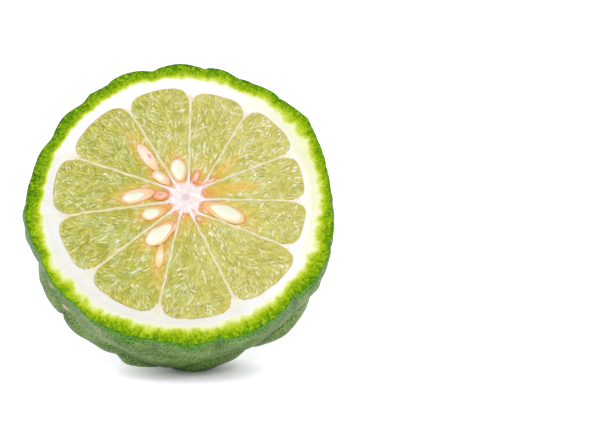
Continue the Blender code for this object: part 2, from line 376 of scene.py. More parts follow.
    def half_opening(self, index: int, radius: np.ndarray) -> np.ndarray:
        """Return half the angle between a segment's two membranes at each radius."""
        turn = self.membrane_angle(index + 1, radius) - self.membrane_angle(index, radius)
        return ((turn + math.pi) % (2 * math.pi) - math.pi) / 2

    def inner_radius(self, index: int) -> float:
        """Find where a segment's tip is wide enough to hold flesh.

        Args:
            index: The segment's number.

        Returns:
            The tip's distance from the core.
        """
        radius = self.core_radius
        need = self.membrane / 2 + self.fit_gap + self.tip_half_width
        while radius * self.half_opening(index, np.array(radius)) < need:
            radius += 0.05
        return radius

    def shrink(self, depth: float) -> float:
        """Work out how the segments narrow behind the cut.

        Args:
            depth: Depth behind the cut.

        Returns:
            Their width there as a share of their width at the cut.
        """
        reach = self.segment_depth - self.bulge_centre
        level, at_cut = (depth - self.bulge_centre) / reach, self.bulge_centre / reach
        return math.sqrt(max(0.0, (1.0 - level * level) / (1.0 - at_cut * at_cut)))

    def spot(self, turn: np.ndarray, radius: np.ndarray) -> tuple[np.ndarray, np.ndarray]:
        """Return the places at some directions and distances from the core, to the right and up."""
        return self.core[0] + radius * np.cos(turn), self.core[1] + radius * np.sin(turn)

    def rounded(self, along: np.ndarray) -> np.ndarray:
        """Return the share of its width that a segment keeps, from -1 at its tip to 1 at its outer end."""
        power = np.where(along > 0, *self.rounding)
        return np.clip(1.0 - np.abs(along) ** power, 0.0, 1.0) ** (1.0 / power)

    def outline_level(self, along: np.ndarray, across: np.ndarray) -> np.ndarray:
        """Return how near places of a segment are to its rounded outline: 0 in the middle, 1 on it."""
        power = np.where(along > 0, *self.rounding)
        return (np.abs(along) ** power + np.abs(across) ** power) ** (1.0 / power)


FRUIT = Fruit()


def lattice(columns: int, rows: int) -> tuple[bmesh.types.BMesh, np.ndarray, np.ndarray]:
    """Make a flat grid that a piece's function then bends into shape.

    Args:
        columns: Faces along the first direction.
        rows: Faces along the second direction.

    Returns:
        The bmesh, and each vertex's place along both directions, from 0 to 1.
    """
    mesh = bmesh.new()
    bmesh.ops.create_grid(mesh, x_segments=columns, y_segments=rows, size=1.0)
    spots = np.array([vert.co[:2] for vert in mesh.verts])
    return mesh, (spots[:, 0] + 1.0) / 2.0, (spots[:, 1] + 1.0) / 2.0


def shape(mesh: bmesh.types.BMesh, points: np.ndarray, values: dict[str, np.ndarray]) -> None:
    """Move a bmesh's vertices and store values on them.

    Args:
        mesh: The bmesh to change.
        points: A place for each vertex.
        values: Attribute name to one number or one vector for each vertex.
    """
    draft = bpy.data.meshes.new("draft")
    mesh.to_mesh(draft)
    draft.vertices.foreach_set("co", points.astype(np.float32).ravel())
    for name, numbers in values.items():
        kind, field_name = ("FLOAT", "value") if numbers.ndim == 1 else ("FLOAT_VECTOR", "vector")
        store = draft.attributes.new(name, kind, "POINT")
        store.data.foreach_set(field_name, numbers.astype(np.float32).ravel())
    mesh.clear()
    mesh.from_mesh(draft)
    bpy.data.meshes.remove(draft)


def finish_piece(
    name: str,
    mesh: bmesh.types.BMesh,
    materials: list[bpy.types.Material],
    nodes: tuple[str, ...] = (),
    second_where: str = "",
) -> bpy.types.Object:
    """Close a bmesh, tip it onto the table and make it a piece of the fruit.

    Args:
        name: The piece's name.
        mesh: The bmesh, in the fruit's frame.
        materials: One material, or two.
        nodes: The CAD nodes that the piece stands for.
        second_where: Name of the attribute that is over a half where the second material goes.

    Returns:
        The new object.
    """
    bmesh.ops.remove_doubles(mesh, verts=mesh.verts, dist=WELD)
    bmesh.ops.recalc_face_normals(mesh, faces=mesh.faces)
    bmesh.ops.transform(mesh, matrix=FRUIT.matrix(), verts=mesh.verts)
    layer = mesh.verts.layers.float.get(second_where) if second_where else None
    for face in mesh.faces:
        face.smooth = True
        if layer is not None:
            face.material_index = int(sum(vert[layer] for vert in face.verts) > 0.5 * len(face.verts))
    data = bpy.data.meshes.new(name)
    mesh.to_mesh(data)
    mesh.free()
    data.set_sharp_from_angle(angle=SHARP)
    for material in materials:
        data.materials.append(material)
    piece = bpy.data.objects.new(name, data)
    bpy.context.scene.collection.objects.link(piece)
    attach(piece, "root")
    if nodes:
        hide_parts(*nodes)
    LOG.info("%s: %d faces", name, len(data.polygons))
    return piece


def new_material(name: str) -> tuple[bpy.types.Material, bpy.types.NodeTree, bpy.types.Node]:
    """Start a material.

    Args:
        name: The material's name.

    Returns:
        The material, its node tree and its Principled shader.
    """
    material = bpy.data.materials.new(name)
    material.use_nodes = True
    tree = material.node_tree
    return material, tree, tree.nodes["Principled BSDF"]


def pith_colour(tree: bpy.types.NodeTree) -> bpy.types.Node:
    """Add the pith's colour, which the zest fades into: grey-white where shade is painted, white, cream and
    pale green.

    Args:
        tree: The material's node tree, on a mesh with the attribute "warm".

    Returns:
        The node that gives the colour.
    """
    add = partial(add_node, tree)
    shade_and_tint = add("Attribute", attribute_name="shade_and_tint").outputs["Fac"]
    place = add("TexCoord").outputs["Object"]
    cloud = add("TexNoise", {"Vector": place, "Scale": pattern_scale(PITH_CLOUD), "Detail": 3.0})
    shift = add("Math", {0: cloud, 1: 0.30, 2: shade_and_tint}, operation="MULTIPLY_ADD")
    # the grey low end of the ramp is painted shade, at the left and below
    return add(
        "ValToRGB", {"Fac": shift},
        stops={
            0.06: "#E2E2D5", 0.17: "#E8E9E2", 0.33: "#FCFDFC", 0.48: "#FBFBFC", 0.60: "#F5F5E8",
            0.72: "#F1F0D8", 1.0: "#E2E8A4",
        },
    )


@dataclass(frozen=True)
class RindSkin:
    """Citrus skin: dull wax over dark oil glands in a pale net, with thin grey lines on the folds.

    It looks matt and finely dotted, with a vivid green edge at the cut that is painted light, as if lit
    through the thin rind.  Sizes are in millimetres.
    """

    name: str = "citrus_skin"
    gland_dark: str = "#2F5718"
    gland_light: str = "#446E28"
    net_dark: str = "#648434"
    net_light: str = "#8AA256"
    wax: str = "#9DA87A"
    # painted shade for the creases between the lobes
    crease: str = "#2C4C18"
    # lit_rim and lit_net: painted light, the glow of the thin rind near the cut
    lit_rim: str = "#2E6A06"
    lit_net: str = "#56921A"
    scar: str = "#D9BD82"
    gland_spacing: float = 0.80    # from gland to gland, as on the real rind
    patch_size: float = 6.66667    # lighter and darker patches, a wart across
    wobble_size: float = 0.83333    # bends in the net between the glands
    wobble: float = 0.4
    rub_size: float = 2.0    # places where the wax is rubbed off
    scab_size: float = 0.66667    # flakes of a scar's cork
    grit_size: float = 0.45455    # grain of the wax, coarser than the real one so that it shows
    line_width: float = 0.50
    roughness: float = 0.44

    def material(self) -> bpy.types.Material:
        """Make the skin's material.

        Returns:
            The material, for a mesh with "crease", "fold", "full", "rim" and "scar".
        """
        material, tree, shader = new_material(self.name)
        add = partial(add_node, tree)
        crease, rim, scar = (
            add("Attribute", attribute_name=name).outputs["Fac"] for name in ("crease", "rim", "scar")
        )
        fold, full = (add("Attribute", attribute_name=name).outputs["Vector"] for name in ("fold", "full"))
        place = add("TexCoord").outputs["Object"]

        # the glands, as dark dots in a net that is bent a little so that no cell is straight
        patches = {"Vector": place, "Scale": pattern_scale(self.patch_size), "Detail": 4.0, "Roughness": 0.6}
        patch = add("TexNoise", patches)
        gland = add("ValToRGB", {"Fac": patch}, stops={0.36: self.gland_dark, 0.66: self.gland_light})
        net = add("ValToRGB", {"Fac": patch}, stops={0.36: self.net_dark, 0.66: self.net_light})
        bends = add("TexNoise", {"Vector": place, "Scale": pattern_scale(self.wobble_size), "Detail": 1.0})
        bent = add(
            "VectorMath", {0: bends.outputs["Color"], 1: (self.wobble * MM,) * 3, 2: place},
            operation="MULTIPLY_ADD",
        )
        cells = {"Vector": bent, "Scale": pattern_scale(self.gland_spacing)}
        edges = add("TexVoronoi", cells, feature="DISTANCE_TO_EDGE")
        dot = add(
            "MapRange", {"Value": edges, "From Min": 0.01, "From Max": 0.24}, interpolation_type="SMOOTHSTEP"
        )

        # painted shade, darker in the creases between the lobes, and wax along the folds
        deep = add("MapRange", {"Value": crease, "To Max": 0.5})
        away = add("VectorMath", {0: fold}, operation="ABSOLUTE")
        line = add(
            "MapRange",
            {
                "Vector": away, "From Max": (self.line_width,) * 3,
                "To Min": (1.0,) * 3, "To Max": (0.0,) * 3,
            },
            data_type="FLOAT_VECTOR", interpolation_type="SMOOTHSTEP",
        )
        drawn = add("VectorMath", {0: line, 1: full}, operation="DOT_PRODUCT")
        rubbed = add("TexNoise", {"Vector": place, "Scale": pattern_scale(self.rub_size), "Detail": 2.0})
        waxed = add("Math", {0: drawn, 1: rubbed}, operation="MULTIPLY", use_clamp=True)

        # painted light: the vivid edge at the cut, 1 to 4 mm wide, as if lit through the thin rind; and the
        # scars
        uneven = add("Math", {0: patch, 1: 2.4, 2: rim}, operation="MULTIPLY_ADD")
        near = add(
            "MapRange", {"Value": uneven, "From Min": 1.1, "From Max": 4.0, "To Min": 1.0, "To Max": 0.0},
            interpolation_type="SMOOTHSTEP",
        )
        vivid = add("Mix", {0: dot, 6: self.lit_net, 7: self.lit_rim}, data_type="RGBA")
        flakes = {"Vector": place, "Scale": pattern_scale(self.scab_size), "Detail": 4.0, "Roughness": 0.6}
        marked = add("Math", {0: add("TexNoise", flakes), 1: scar}, operation="MULTIPLY")
        scarred = add("MapRange", {"Value": marked, "From Min": 0.42, "From Max": 0.58})

        colour = net
        for share, tint in (
            (dot, gland), (deep, self.crease), (waxed, self.wax), (near, vivid), (scarred, self.scar),
        ):
            colour = add("Mix", {0: share, 6: colour, 7: tint}, data_type="RGBA")
        grit = add("TexNoise", {"Vector": place, "Scale": pattern_scale(self.grit_size), "Detail": 2.0})
        height = add("Math", {0: dot, 1: -1.2, 2: grit}, operation="MULTIPLY_ADD")
        bump = add("Bump", {"Height": height, "Strength": 0.6, "Distance": 0.12 * MM})
        feed(tree, shader, {
            "Base Color": colour, "Normal": bump, "Roughness": self.roughness, "Specular IOR Level": 0.12,
        })
        return material


@dataclass(frozen=True)
class ZestCut:
    """Freshly cut zest: damp green tissue full of cut oil glands, yellow towards the pith.

    The glands show as lighter beads between darker walls; a few are empty pits, and a few carry a painted
    glint.
    """

    name: str = "cut_zest"
    gland_spacing: float = 0.41    # millimetres across; they are a little longer along the radius
    fray_size: float = 1.81818    # tongues of green that reach towards the pith
    fray: float = 0.27
    wall: str = "#2F6A00"
    bead: str = "#B8D41E"
    # colour of the painted glints
    painted_glint: str = "#D2E66A"
    roughness: float = 0.34

    def material(self) -> bpy.types.Material:
        """Make the zest's material.

        Returns:
            The material, for a mesh with "ring", "grain" and "warm".
        """
        material, tree, shader = new_material(self.name)
        add = partial(add_node, tree)
        grain = add("Attribute", attribute_name="grain").outputs["Vector"]
        ring = add("Attribute", attribute_name="ring").outputs["Fac"]
        inside = add("MapRange", {"Value": ring, "From Max": 0.35, "To Min": 0.35})
        tongues = {"Vector": grain, "Scale": 1.0 / self.fray_size, "Detail": 2.5, "Roughness": 0.45}
        noise = add("TexNoise", tongues)
        frayed = add("MapRange", {"Value": noise, "To Min": -self.fray, "To Max": self.fray})
        lit = add("Math", {0: frayed, 1: inside, 2: ring}, operation="MULTIPLY_ADD")
        colour = add(
            "ValToRGB", {"Fac": lit},
            stops={
                0.0: "#407E00", 0.12: "#5B9700", 0.27: "#7CAC00", 0.42: "#9ABE02", 0.54: "#B6CE1C",
                0.65: "#D0DF50", 0.77: "#E3EB9C", 0.92: "#EEF2D6",
            },
        )
        cells = {"Vector": grain, "Scale": 1.0 / self.gland_spacing, "Randomness": 0.9}
        edges = add("TexVoronoi", cells, feature="DISTANCE_TO_EDGE")
        glands = add("TexVoronoi", cells)
        draw = add("SeparateXYZ", {0: glands.outputs["Color"]}).outputs
        green = add(
            "MapRange", {"Value": lit, "From Min": 0.42, "From Max": 0.80, "To Min": 0.80, "To Max": 0.0}
        )
        wall = add("MapRange", {"Value": edges, "From Max": 0.16, "To Min": 0.75, "To Max": 0.0})
        full = add("MapRange", {"Value": draw[0], "From Min": 0.25, "From Max": 0.9, "To Max": 0.75})
        emptied = add("MapRange", {"Value": draw[1], "From Min": 0.70, "From Max": 0.78, "To Max": 0.55})
        # painted glints in the middle of a few glands
        middle = add(
            "MapRange", {"Value": glands, "From Min": 0.12, "From Max": 0.26, "To Min": 1.0, "To Max": 0.0}
        )
        some = add("MapRange", {"Value": draw[2], "From Min": 0.74, "From Max": 0.80, "To Max": 0.7})
        for much, where, tint in (
            (wall, green, self.wall), (full, green, self.bead), (emptied, green, self.wall),
            (middle, some, self.painted_glint),
        ):
            share = add("Math", {0: much, 1: where}, operation="MULTIPLY")
            colour = add("Mix", {0: share, 6: colour, 7: tint}, data_type="RGBA")
        to_pith = add("MapRange", {"Value": lit, "From Min": 0.76, "From Max": 0.94})
        colour = add("Mix", {0: to_pith, 6: colour, 7: pith_colour(tree)}, data_type="RGBA")
        relief = add("Math", {0: edges, 1: green}, operation="MULTIPLY")
        bump = add("Bump", {"Height": relief, "Strength": 0.9, "Distance": 0.5 * MM})
        feed(tree, shader, {
            "Base Color": colour, "Normal": bump, "Roughness": self.roughness, "Specular IOR Level": 0.05,
        })
        return material


@dataclass(frozen=True)
class PithFlesh:
    """Pith: soft, damp and white, with thin see-through membranes and a fibrous pink-white core.

    Light enters it a little way, so that its shadows stay pale.
    """

    name: str = "soft_pith"
    membrane: str = "#E9DFB2"
    thin: str = "#CFC878"
    core: str = "#F1E2DF"
    lace: str = "#FAF6F5"
    blush: str = "#EFA878"
    core_dot: str = "#DEC9CA"
    lace_size: float = 0.76923    # millimetres between the core's white fibres
    fibre_size: float = 0.66667    # millimetres between the pith's fibres
    roughness: float = 0.42

    def material(self) -> bpy.types.Material:
        """Make the pith's material.

        Returns:
            The material, for a mesh with "warm", "wall", "thin", "core", "blush" and "dot".
        """
        material, tree, shader = new_material(self.name)
        add = partial(add_node, tree)
        place = add("TexCoord").outputs["Object"]
        wall, thin, core, blush, dot = (
            add("Attribute", attribute_name=name).outputs["Fac"]
            for name in ("wall", "thin", "core", "blush", "dot")
        )
        fibres = add("TexNoise", {"Vector": place, "Scale": pattern_scale(self.lace_size), "Detail": 2.0})
        white = add("MapRange", {"Value": fibres, "From Min": 0.48, "From Max": 0.60, "To Max": 0.8})
        lace = add("Math", {0: white, 1: core}, operation="MULTIPLY")
        colour = pith_colour(tree)
        for share, tint in (
            (wall, self.membrane), (thin, self.thin), (core, self.core), (lace, self.lace),
            (blush, self.blush), (dot, self.core_dot),
        ):
            colour = add("Mix", {0: share, 6: colour, 7: tint}, data_type="RGBA")
        fibre = add("TexNoise", {"Vector": place, "Scale": pattern_scale(self.fibre_size), "Detail": 3.0})
        bump = add("Bump", {"Height": fibre, "Strength": 0.25, "Distance": 0.1 * MM})
        feed(tree, shader, {
            "Base Color": colour, "Normal": bump, "Roughness": self.roughness, "Subsurface Weight": 0.3,
            "Subsurface Radius": (1.2, 1.2, 0.8), "Subsurface Scale": MM,
        })
        return material


@dataclass(frozen=True)
class JuiceSacs:
    """Juice sacs: thin clear skins over pale yellow-green juice, wet, with white threads and painted glints.

    A thin wet coat gives sharp small lights over a soft body.  Sizes are in millimetres.
    """

    name: str = "wet_juice_sacs"
    deep: str = "#979A22"
    mid: str = "#BBBA42"
    light: str = "#D5D164"
    cool: str = "#BAC872"
    skin: str = "#F3F1CE"
    # colour of the painted glints
    glint: str = "#FFFFF4"
    yellower_right: str = "#E0D27C"
    stain: str = "#E8935A"
    gold: str = "#DFBC46"
    amber: str = "#D09A38"
    streak_size: float = 0.90909    # streaks in the juice, across a sac
    cloud_size: float = 2.63158    # hazier patches, over several sacs
    thread_size: float = 1.33333    # spacing of the fine threads
    thread_width: float = 0.055    # as a share of the noise's range
    roughness: float = 0.22

    def material(self) -> bpy.types.Material:
        """Make the flesh's material.

        Returns:
            The material, for a mesh with its tints, "tone", "edge", "glint" and "grain".
        """
        material, tree, shader = new_material(self.name)
        add = partial(add_node, tree)
        place = add("TexCoord").outputs["Object"]
        grain = add("Attribute", attribute_name="grain").outputs["Vector"]
        tone, yellower_right, olive_and_shadow, gold, amber, stain, edge, glint = (
            add("Attribute", attribute_name=name).outputs["Fac"]
            for name in ("tone", "yellower_right", "olive_and_shadow", "gold", "amber", "stain", "edge", "glint")
        )
        juice = {"Scale": 1.0 / self.streak_size, "Detail": 2.0, "Roughness": 0.55, "Distortion": 0.4}
        streak = add("TexNoise", {"Vector": grain, **juice})
        blend = add("Math", {0: streak, 1: 0.75, 2: tone}, operation="MULTIPLY_ADD")
        colour = add("ValToRGB", {"Fac": blend}, stops={0.28: self.deep, 0.58: self.mid, 0.95: self.light})
        cloud = add("TexNoise", {"Vector": place, "Scale": pattern_scale(self.cloud_size), "Detail": 3.0})
        haze = add("MapRange", {"Value": cloud, "From Min": 0.52, "From Max": 0.72, "To Max": 0.55})

        # fine pale threads along the sacs, where a noise passes its middle value
        skins = {"Scale": 1.0 / self.thread_size, "Detail": 1.5, "Distortion": 0.5}
        off = add("Math", {0: add("TexNoise", {"Vector": grain, **skins}), 1: 0.5}, operation="SUBTRACT")
        fine = add(
            "MapRange",
            {
                "Value": add("Math", {0: off}, operation="ABSOLUTE"), "From Max": self.thread_width,
                "To Min": 1.0, "To Max": 0.0,
            },
            interpolation_type="SMOOTHSTEP",
        )
        patchy = add("MapRange", {"Value": cloud, "From Min": 0.42, "From Max": 0.66, "To Max": 0.4})
        shown = add("Math", {0: fine, 1: patchy}, operation="MULTIPLY")
        thread = add("Math", {0: shown, 1: edge}, operation="MAXIMUM")

        # the olive patches and the painted shadow beside the threads take the deep colour
        for share, tint in (
            (haze, self.cool), (yellower_right, self.yellower_right), (olive_and_shadow, self.deep), (gold, self.gold), (amber, self.amber),
            (stain, self.stain), (thread, self.skin), (glint, self.glint),
        ):
            colour = add("Mix", {0: share, 6: colour, 7: tint}, data_type="RGBA")
        relief = add("Math", {0: streak, 1: 1.2, 2: fine}, operation="MULTIPLY_ADD")
        bump = add("Bump", {"Height": relief, "Strength": 0.5, "Distance": 0.1 * MM})
        feed(tree, shader, {
            "Base Color": colour, "Normal": bump, "Roughness": self.roughness, "IOR": 1.37,
            "Coat Weight": 0.4, "Coat Roughness": 0.06, "Subsurface Weight": 0.2,
            "Subsurface Radius": (1.0, 1.1, 0.5), "Subsurface Scale": MM,
        })
        return material


@dataclass(frozen=True)
class SeedSkin:
    """Seed tissue: a firm damp kernel, or a thin stained coat, shaded from its middle to its edge."""

    tissue: Tissue
    stops: tuple    # colours from the middle, at 0, to the outline, at 1
    wet: float = 0.3
    root: str = ""    # colour of the end near the core, where it differs
    mottle: float = 0.10
    mottle_size: float = 0.71429    # millimetres
    roughness: float = 0.36

    def material(self) -> bpy.types.Material:
        """Make the tissue's material.

        Returns:
            The material, for a mesh with "girth" and "inner".
        """
        material, tree, shader = new_material(self.tissue.value)
        add = partial(add_node, tree)
        place = add("TexCoord").outputs["Object"]
        girth = add("Attribute", attribute_name="girth").outputs["Fac"]
        cloud = add("TexNoise", {"Vector": place, "Scale": pattern_scale(self.mottle_size), "Detail": 3.0})
        shift = add("MapRange", {"Value": cloud, "To Min": -self.mottle, "To Max": self.mottle})
        level = add("Math", {0: girth, 1: shift}, operation="ADD")
        colour = add("ValToRGB", {"Fac": level}, stops=dict(self.stops))
        if self.root:
            inner = add("Attribute", attribute_name="inner").outputs["Fac"]
            near = add("MapRange", {"Value": inner, "From Min": 0.45, "To Max": 0.85})
            colour = add("Mix", {0: near, 6: colour, 7: self.root}, data_type="RGBA")
        bump = add("Bump", {"Height": cloud, "Strength": 0.2, "Distance": 0.1 * MM})
        feed(tree, shader, {
            "Base Color": colour, "Normal": bump, "Roughness": self.roughness, "Coat Weight": self.wet,
            "Coat Roughness": 0.12, "Subsurface Weight": 0.3, "Subsurface Radius": (1.0, 0.8, 0.5),
            "Subsurface Scale": MM,
        })
        return material


SEED_SKINS = (
    SeedSkin(
        Tissue.KERNEL, ((0.0, "#E9EAD2"), (0.6, "#EDEDD8"), (0.93, "#F1EBCC"), (1.0, "#F0DDB0")), wet=0.1
    ),
    SeedSkin(
        Tissue.COAT,
        ((0.0, "#E6DA94"), (0.86, "#E8D68C"), (0.92, "#F3D6A2"), (0.97, "#E8965A"), (1.0, "#E6A468")),
        root="#ECA868",
    ),
    SeedSkin(
        Tissue.PEACH, ((0.0, "#F3DCB0"), (0.84, "#F5D6AC"), (0.92, "#F0AE7C"), (1.0, "#EFC48E")),
        root="#F4B890",
    ),
    SeedSkin(
        Tissue.EMPTY,
        ((0.0, "#FBF4E8"), (0.40, "#F3DCC4"), (0.62, "#F8EADA"), (0.84, "#F2C8A4"), (0.96, "#F4DCC6")),
        root="#E6BE72", mottle=0.9,
    ),
    SeedSkin(Tissue.ABORTED, ((0.0, "#FAEEDC"), (0.5, "#F4E0B8"), (0.92, "#E8C26C")), root="#E0B458"),
    SeedSkin(Tissue.OVULE, ((0.0, "#F8D8C2"), (0.55, "#F5BE9C"), (0.9, "#E98E58"), (1.0, "#EDA868"))),
    SeedSkin(Tissue.SORE, ((0.0, "#E8877C"), (0.6, "#F0A48E"), (1.0, "#F4C4A4"))),
)


def pith_shade_and_tint(x: np.ndarray, y: np.ndarray) -> np.ndarray:
    """Tint the pith over the cut face: greyer at the left and below as painted shade, cream and then green at
    the right.

    Args:
        x: Places to the right.
        y: Places up the face.

    Returns:
        How creamy the pith is at each place; the lowest values are the painted shade.
    """
    middle, per_right, per_up, per_down = 0.15, 0.0050, 0.0032, 0.0085
    east = np.cos(np.arctan2(y, x) - math.radians(12.0))
    green = 0.42 * smooth(23.5, 28.5, np.hypot(x, y)) * smooth(0.45, 1.0, east)
    # painted shade: darker below
    low = per_down * np.minimum(y + 12.0, 0.0)
    return np.clip(middle + per_right * x + per_up * y + low + green, -0.12, 1.0)


@dataclass
class Rind:
    """The rind: knobbly skin, the cut ring of zest and the smooth inside that holds the pith.

    Rows of the mesh run from the fruit's end over the skin, the cut ring and the inside.  A swell has its
    degrees round the cut face, its latitude in degrees, its half width and its height.
    """

    columns: int = 640
    skin_rows: int = 104
    cut_rows: int = 24
    cup_rows: int = 6
    crowding: float = 1.15    # brings the ring's rows closer together towards the skin
    edge_round: float = 0.08
    white_margin: float = 0.8
    tuck: float = 0.012    # the ring's inner edge lies this much under the pith
    ring_radius: float = 30.0
    ring_width: float = 3.4
    ripple: float = 0.05    # height of the waves that the knife left in the ring
    green_power: float = 1.04    # the higher, the wider the green of the ring
    sunward: float = math.radians(315.0)    # where the yellow of the ring is widest
    sun_power: float = 0.26
    greener: tuple = ((155, 0.85), (212, -0.62), (28, -0.25), (268, -0.14))    # degrees, and power added
    scallops: tuple[float, float] = (0.04, 0.05)    # fine and broad waves in the width of the green
    crease_depth: float = 0.40
    crease_width: float = 0.30
    # shade_width: width of the painted shade in a crease
    shade_width: float = 0.45    # of the darker colour in a crease
    fine_mean: float = 0.16    # mean height of the fine domes, taken off again
    fold_height: float = 0.34
    fold_width: float = 0.8
    end_dimple: float = 0.6
    end_width: float = 2.4
    end_scar: float = 1.7
    scars: tuple = (
        (-27.6, -15.0, -7.5, 2.6), (-26.6, -16.8, -7.5, 2.2), (-24.2, -19.2, -9.8, 1.6),
        (-25.9, -17.6, -1.6, 1.1),
    )
    scar_strength: float = 1.3
    swells: tuple = (
        (203, -17, 7.0, -1.1), (214, -20, 5.0, 1.5), (236, -30, 6.0, -0.5), (257, -39, 7.0, 2.7),
        (278, -40, 6.0, 0.7), (318, -22, 7.0, 0.5), (25, 0, 7.0, 0.7), (48, 0, 7.0, 0.8),
        (75, 0, 5.5, 0.9), (101, 0, 4.0, 0.4), (122, 0, 5.5, 0.6), (188, 0, 7.0, 0.4),
    )
    lobes: Domes = field(default_factory=FRUIT.lobes)
    warts: Domes = field(default_factory=lambda: scattered_domes(90, (3.2, 5.0), (0.35, 0.75), 4.4, 11))
    fine: Domes = field(default_factory=lambda: scattered_domes(520, (1.3, 2.2), (0.10, 0.30), 9.0, 5))
    folds: tuple = (Folds(3), Folds(8, pace=11.0))

    def skin_radius(self, units: np.ndarray) -> np.ndarray:
        """Add up the skin's relief, from the lobes to the finest warts.

        Args:
            units: Directions from the middle of the bulge.

        Returns:
            The skin's radius in each direction.
        """
        around = FRUIT.base_wide
        relief = self.lobes.height(units, around) + self.warts.height(units, around)
        relief += self.fine.height(units, around) - self.fine_mean
        relief -= self.crease_depth * self.lobes.creases(units, around, self.crease_width)
        for fold in self.folds:
            away, full = fold.distance(units, around)
            relief += self.fold_height * full * np.exp(-np.abs(away) / self.fold_width)
        for turn, rise, wide, high in self.swells:
            place = unit_vectors(np.radians([turn]), np.radians([rise]))[0]
            relief += high * bell(around * np.arccos(np.clip(units @ place, -1.0, 1.0)), wide)
        relief -= self.end_dimple * bell(self.from_end(units), self.end_width)
        return FRUIT.base_radius(units) + relief

    def from_end(self, units: np.ndarray) -> np.ndarray:
        """Return how far each direction is from the fruit's end, along the skin."""
        return FRUIT.base_deep * np.arccos(np.clip(-units[:, 2], -1.0, 1.0))

    def cup_radius(self, units: np.ndarray) -> np.ndarray:
        """Return the radius of the rind's inside in each direction."""
        follow = FRUIT.cup_follow * self.lobes.height(units, FRUIT.base_wide)
        return FRUIT.base_radius(units, FRUIT.zest) + follow

    def cup_points(self, turn: np.ndarray, rise: np.ndarray) -> np.ndarray:
        """Return places on the rind's inside, from angles round the cut face and latitudes."""
        units = unit_vectors(turn, rise)
        return units * self.cup_radius(units)[:, None] + (*FRUIT.cup_shift, -FRUIT.bulge_centre)

    def cut_latitude(self, turn: np.ndarray, radius: Callable[[np.ndarray], np.ndarray]) -> np.ndarray:
        """Find the latitude at which a surface passes the cut plane.

        Args:
            turn: Angles round the cut face.
            radius: Function from directions to the surface's radius.

        Returns:
            A latitude for each angle, in radians.
        """
        rise = np.full_like(turn, 0.12)
        for _ in range(6):
            rise = np.arcsin(FRUIT.bulge_centre / radius(unit_vectors(turn, rise)))
        return rise

    def build(self, skin: bpy.types.Material, zest: bpy.types.Material) -> bpy.types.Object:
        """Build the rind as one closed mesh.

        Args:
            skin: Material of the outside.
            zest: Material of the cut ring and the inside.

        Returns:
            The rind's object.
        """
        rows = self.skin_rows + self.cut_rows + self.cup_rows
        mesh, around, path = lattice(self.columns, rows)
        turn, step = 2 * math.pi * around, path * rows
        turns = np.linspace(0.0, 2 * math.pi, self.columns + 1)
        column = np.rint(around * self.columns).astype(int)
        outer_rise = self.cut_latitude(turns, self.skin_radius)[column]
        inner_rise = self.cut_latitude(turns, self.cup_radius)[column]

        climb = np.clip(step / self.skin_rows, 0.0, 1.0)
        units = unit_vectors(turn, -math.pi / 2 + climb * (outer_rise + math.pi / 2))
        points = units * self.skin_radius(units)[:, None] - (0.0, 0.0, FRUIT.bulge_centre)
        on_cut = step > self.skin_rows + 0.5
        share = np.clip((step - self.skin_rows) / self.cut_rows, 0.0, 1.0) ** self.crowding
        ring = self.ring_points(points, self.cup_points(turn, inner_rise), turn, share)
        points[on_cut] = ring[on_cut]
        down = np.clip((step - rows + self.cup_rows) / self.cup_rows, 0.0, 1.0)
        inside = self.cup_points(turn, inner_rise - down * (inner_rise + math.pi / 2))
        points[down > 0.001] = inside[down > 0.001]

        points = self.press_flat(points, on_cut)
        values = {
            "cut": on_cut.astype(float),
            **self.skin_marks(points, units, on_cut),
            **self.ring_marks(points, turn, share),
        }
        shape(mesh, points, values)
        return finish_piece("rind_with_zest", mesh, [skin, zest], ("rind",), second_where="cut")

    def ring_points(
        self, skin: np.ndarray, inner: np.ndarray, turn: np.ndarray, share: np.ndarray
    ) -> np.ndarray:
        """Lay the cut ring between the edge of the skin and a line just inside the pith.

        Args:
            skin: Places on the skin's edge.
            inner: Places on the edge of the inside.
            turn: Angles round the cut face.
            share: From 0 at the skin to 1 at the inside.

        Returns:
            Places on the ring.
        """
        inner = inner - inner / np.linalg.norm(inner, axis=1)[:, None] * self.white_margin
        ring = skin + (inner - skin) * share[:, None]
        arc = turn * self.ring_radius
        ring[:, 2] = cut_waves(ring[:, 0], ring[:, 1]) - self.edge_round * np.exp(-share / 0.04)
        ripple = np.sin(2.3 * arc + 2.0 * np.sin(0.7 * arc)) * smooth(0.0, 0.2, share) * (1.0 - share)
        ring[:, 2] += self.ripple * ripple
        ring[:, 2] -= self.tuck * smooth(0.86, 1.0, share)
        return ring

    def press_flat(self, points: np.ndarray, on_cut: np.ndarray) -> np.ndarray:
        """Press the low lobes flat where they would go through the table.

        Args:
            points: Places in the fruit's frame.
            on_cut: Which of them are on the cut or the inside, and stay.

        Returns:
            The places, none below the table.
        """
        matrix = np.array(FRUIT.matrix())
        world = points @ matrix[:3, :3].T + matrix[:3, 3]
        world[:, 2] = np.where(on_cut, world[:, 2], np.maximum(world[:, 2], 0.0))
        inverse = np.linalg.inv(matrix)
        return world @ inverse[:3, :3].T + inverse[:3, 3]

    def skin_marks(self, points: np.ndarray, units: np.ndarray, on_cut: np.ndarray) -> dict[str, np.ndarray]:
        """Work out what the skin's material reads.

        Args:
            points: Places in the fruit's frame.
            units: Their directions from the middle of the bulge.
            on_cut: Which of them are on the cut or the inside.

        Returns:
            Attribute name to values.
        """
        folds = [fold.distance(units, FRUIT.base_wide) for fold in self.folds]
        nothing = np.zeros(len(units))
        scar = np.where(on_cut, 0.0, bell(self.from_end(units), self.end_scar))
        for x, y, z, size in self.scars:
            scar = np.maximum(scar, bell(np.linalg.norm(points - (x, y, z), axis=1), size))
        return {
            # where the painted shade of the creases goes
            "crease": self.lobes.creases(units, FRUIT.base_wide, self.shade_width) * ~on_cut,
            "fold": np.stack([*(np.clip(away, -3.0, 3.0) for away, _ in folds), nothing], axis=1),
            "full": np.stack([*(full for _, full in folds), nothing], axis=1),
            "rim": np.maximum(0.0, -points[:, 2]),
            "scar": self.scar_strength * scar,
        }

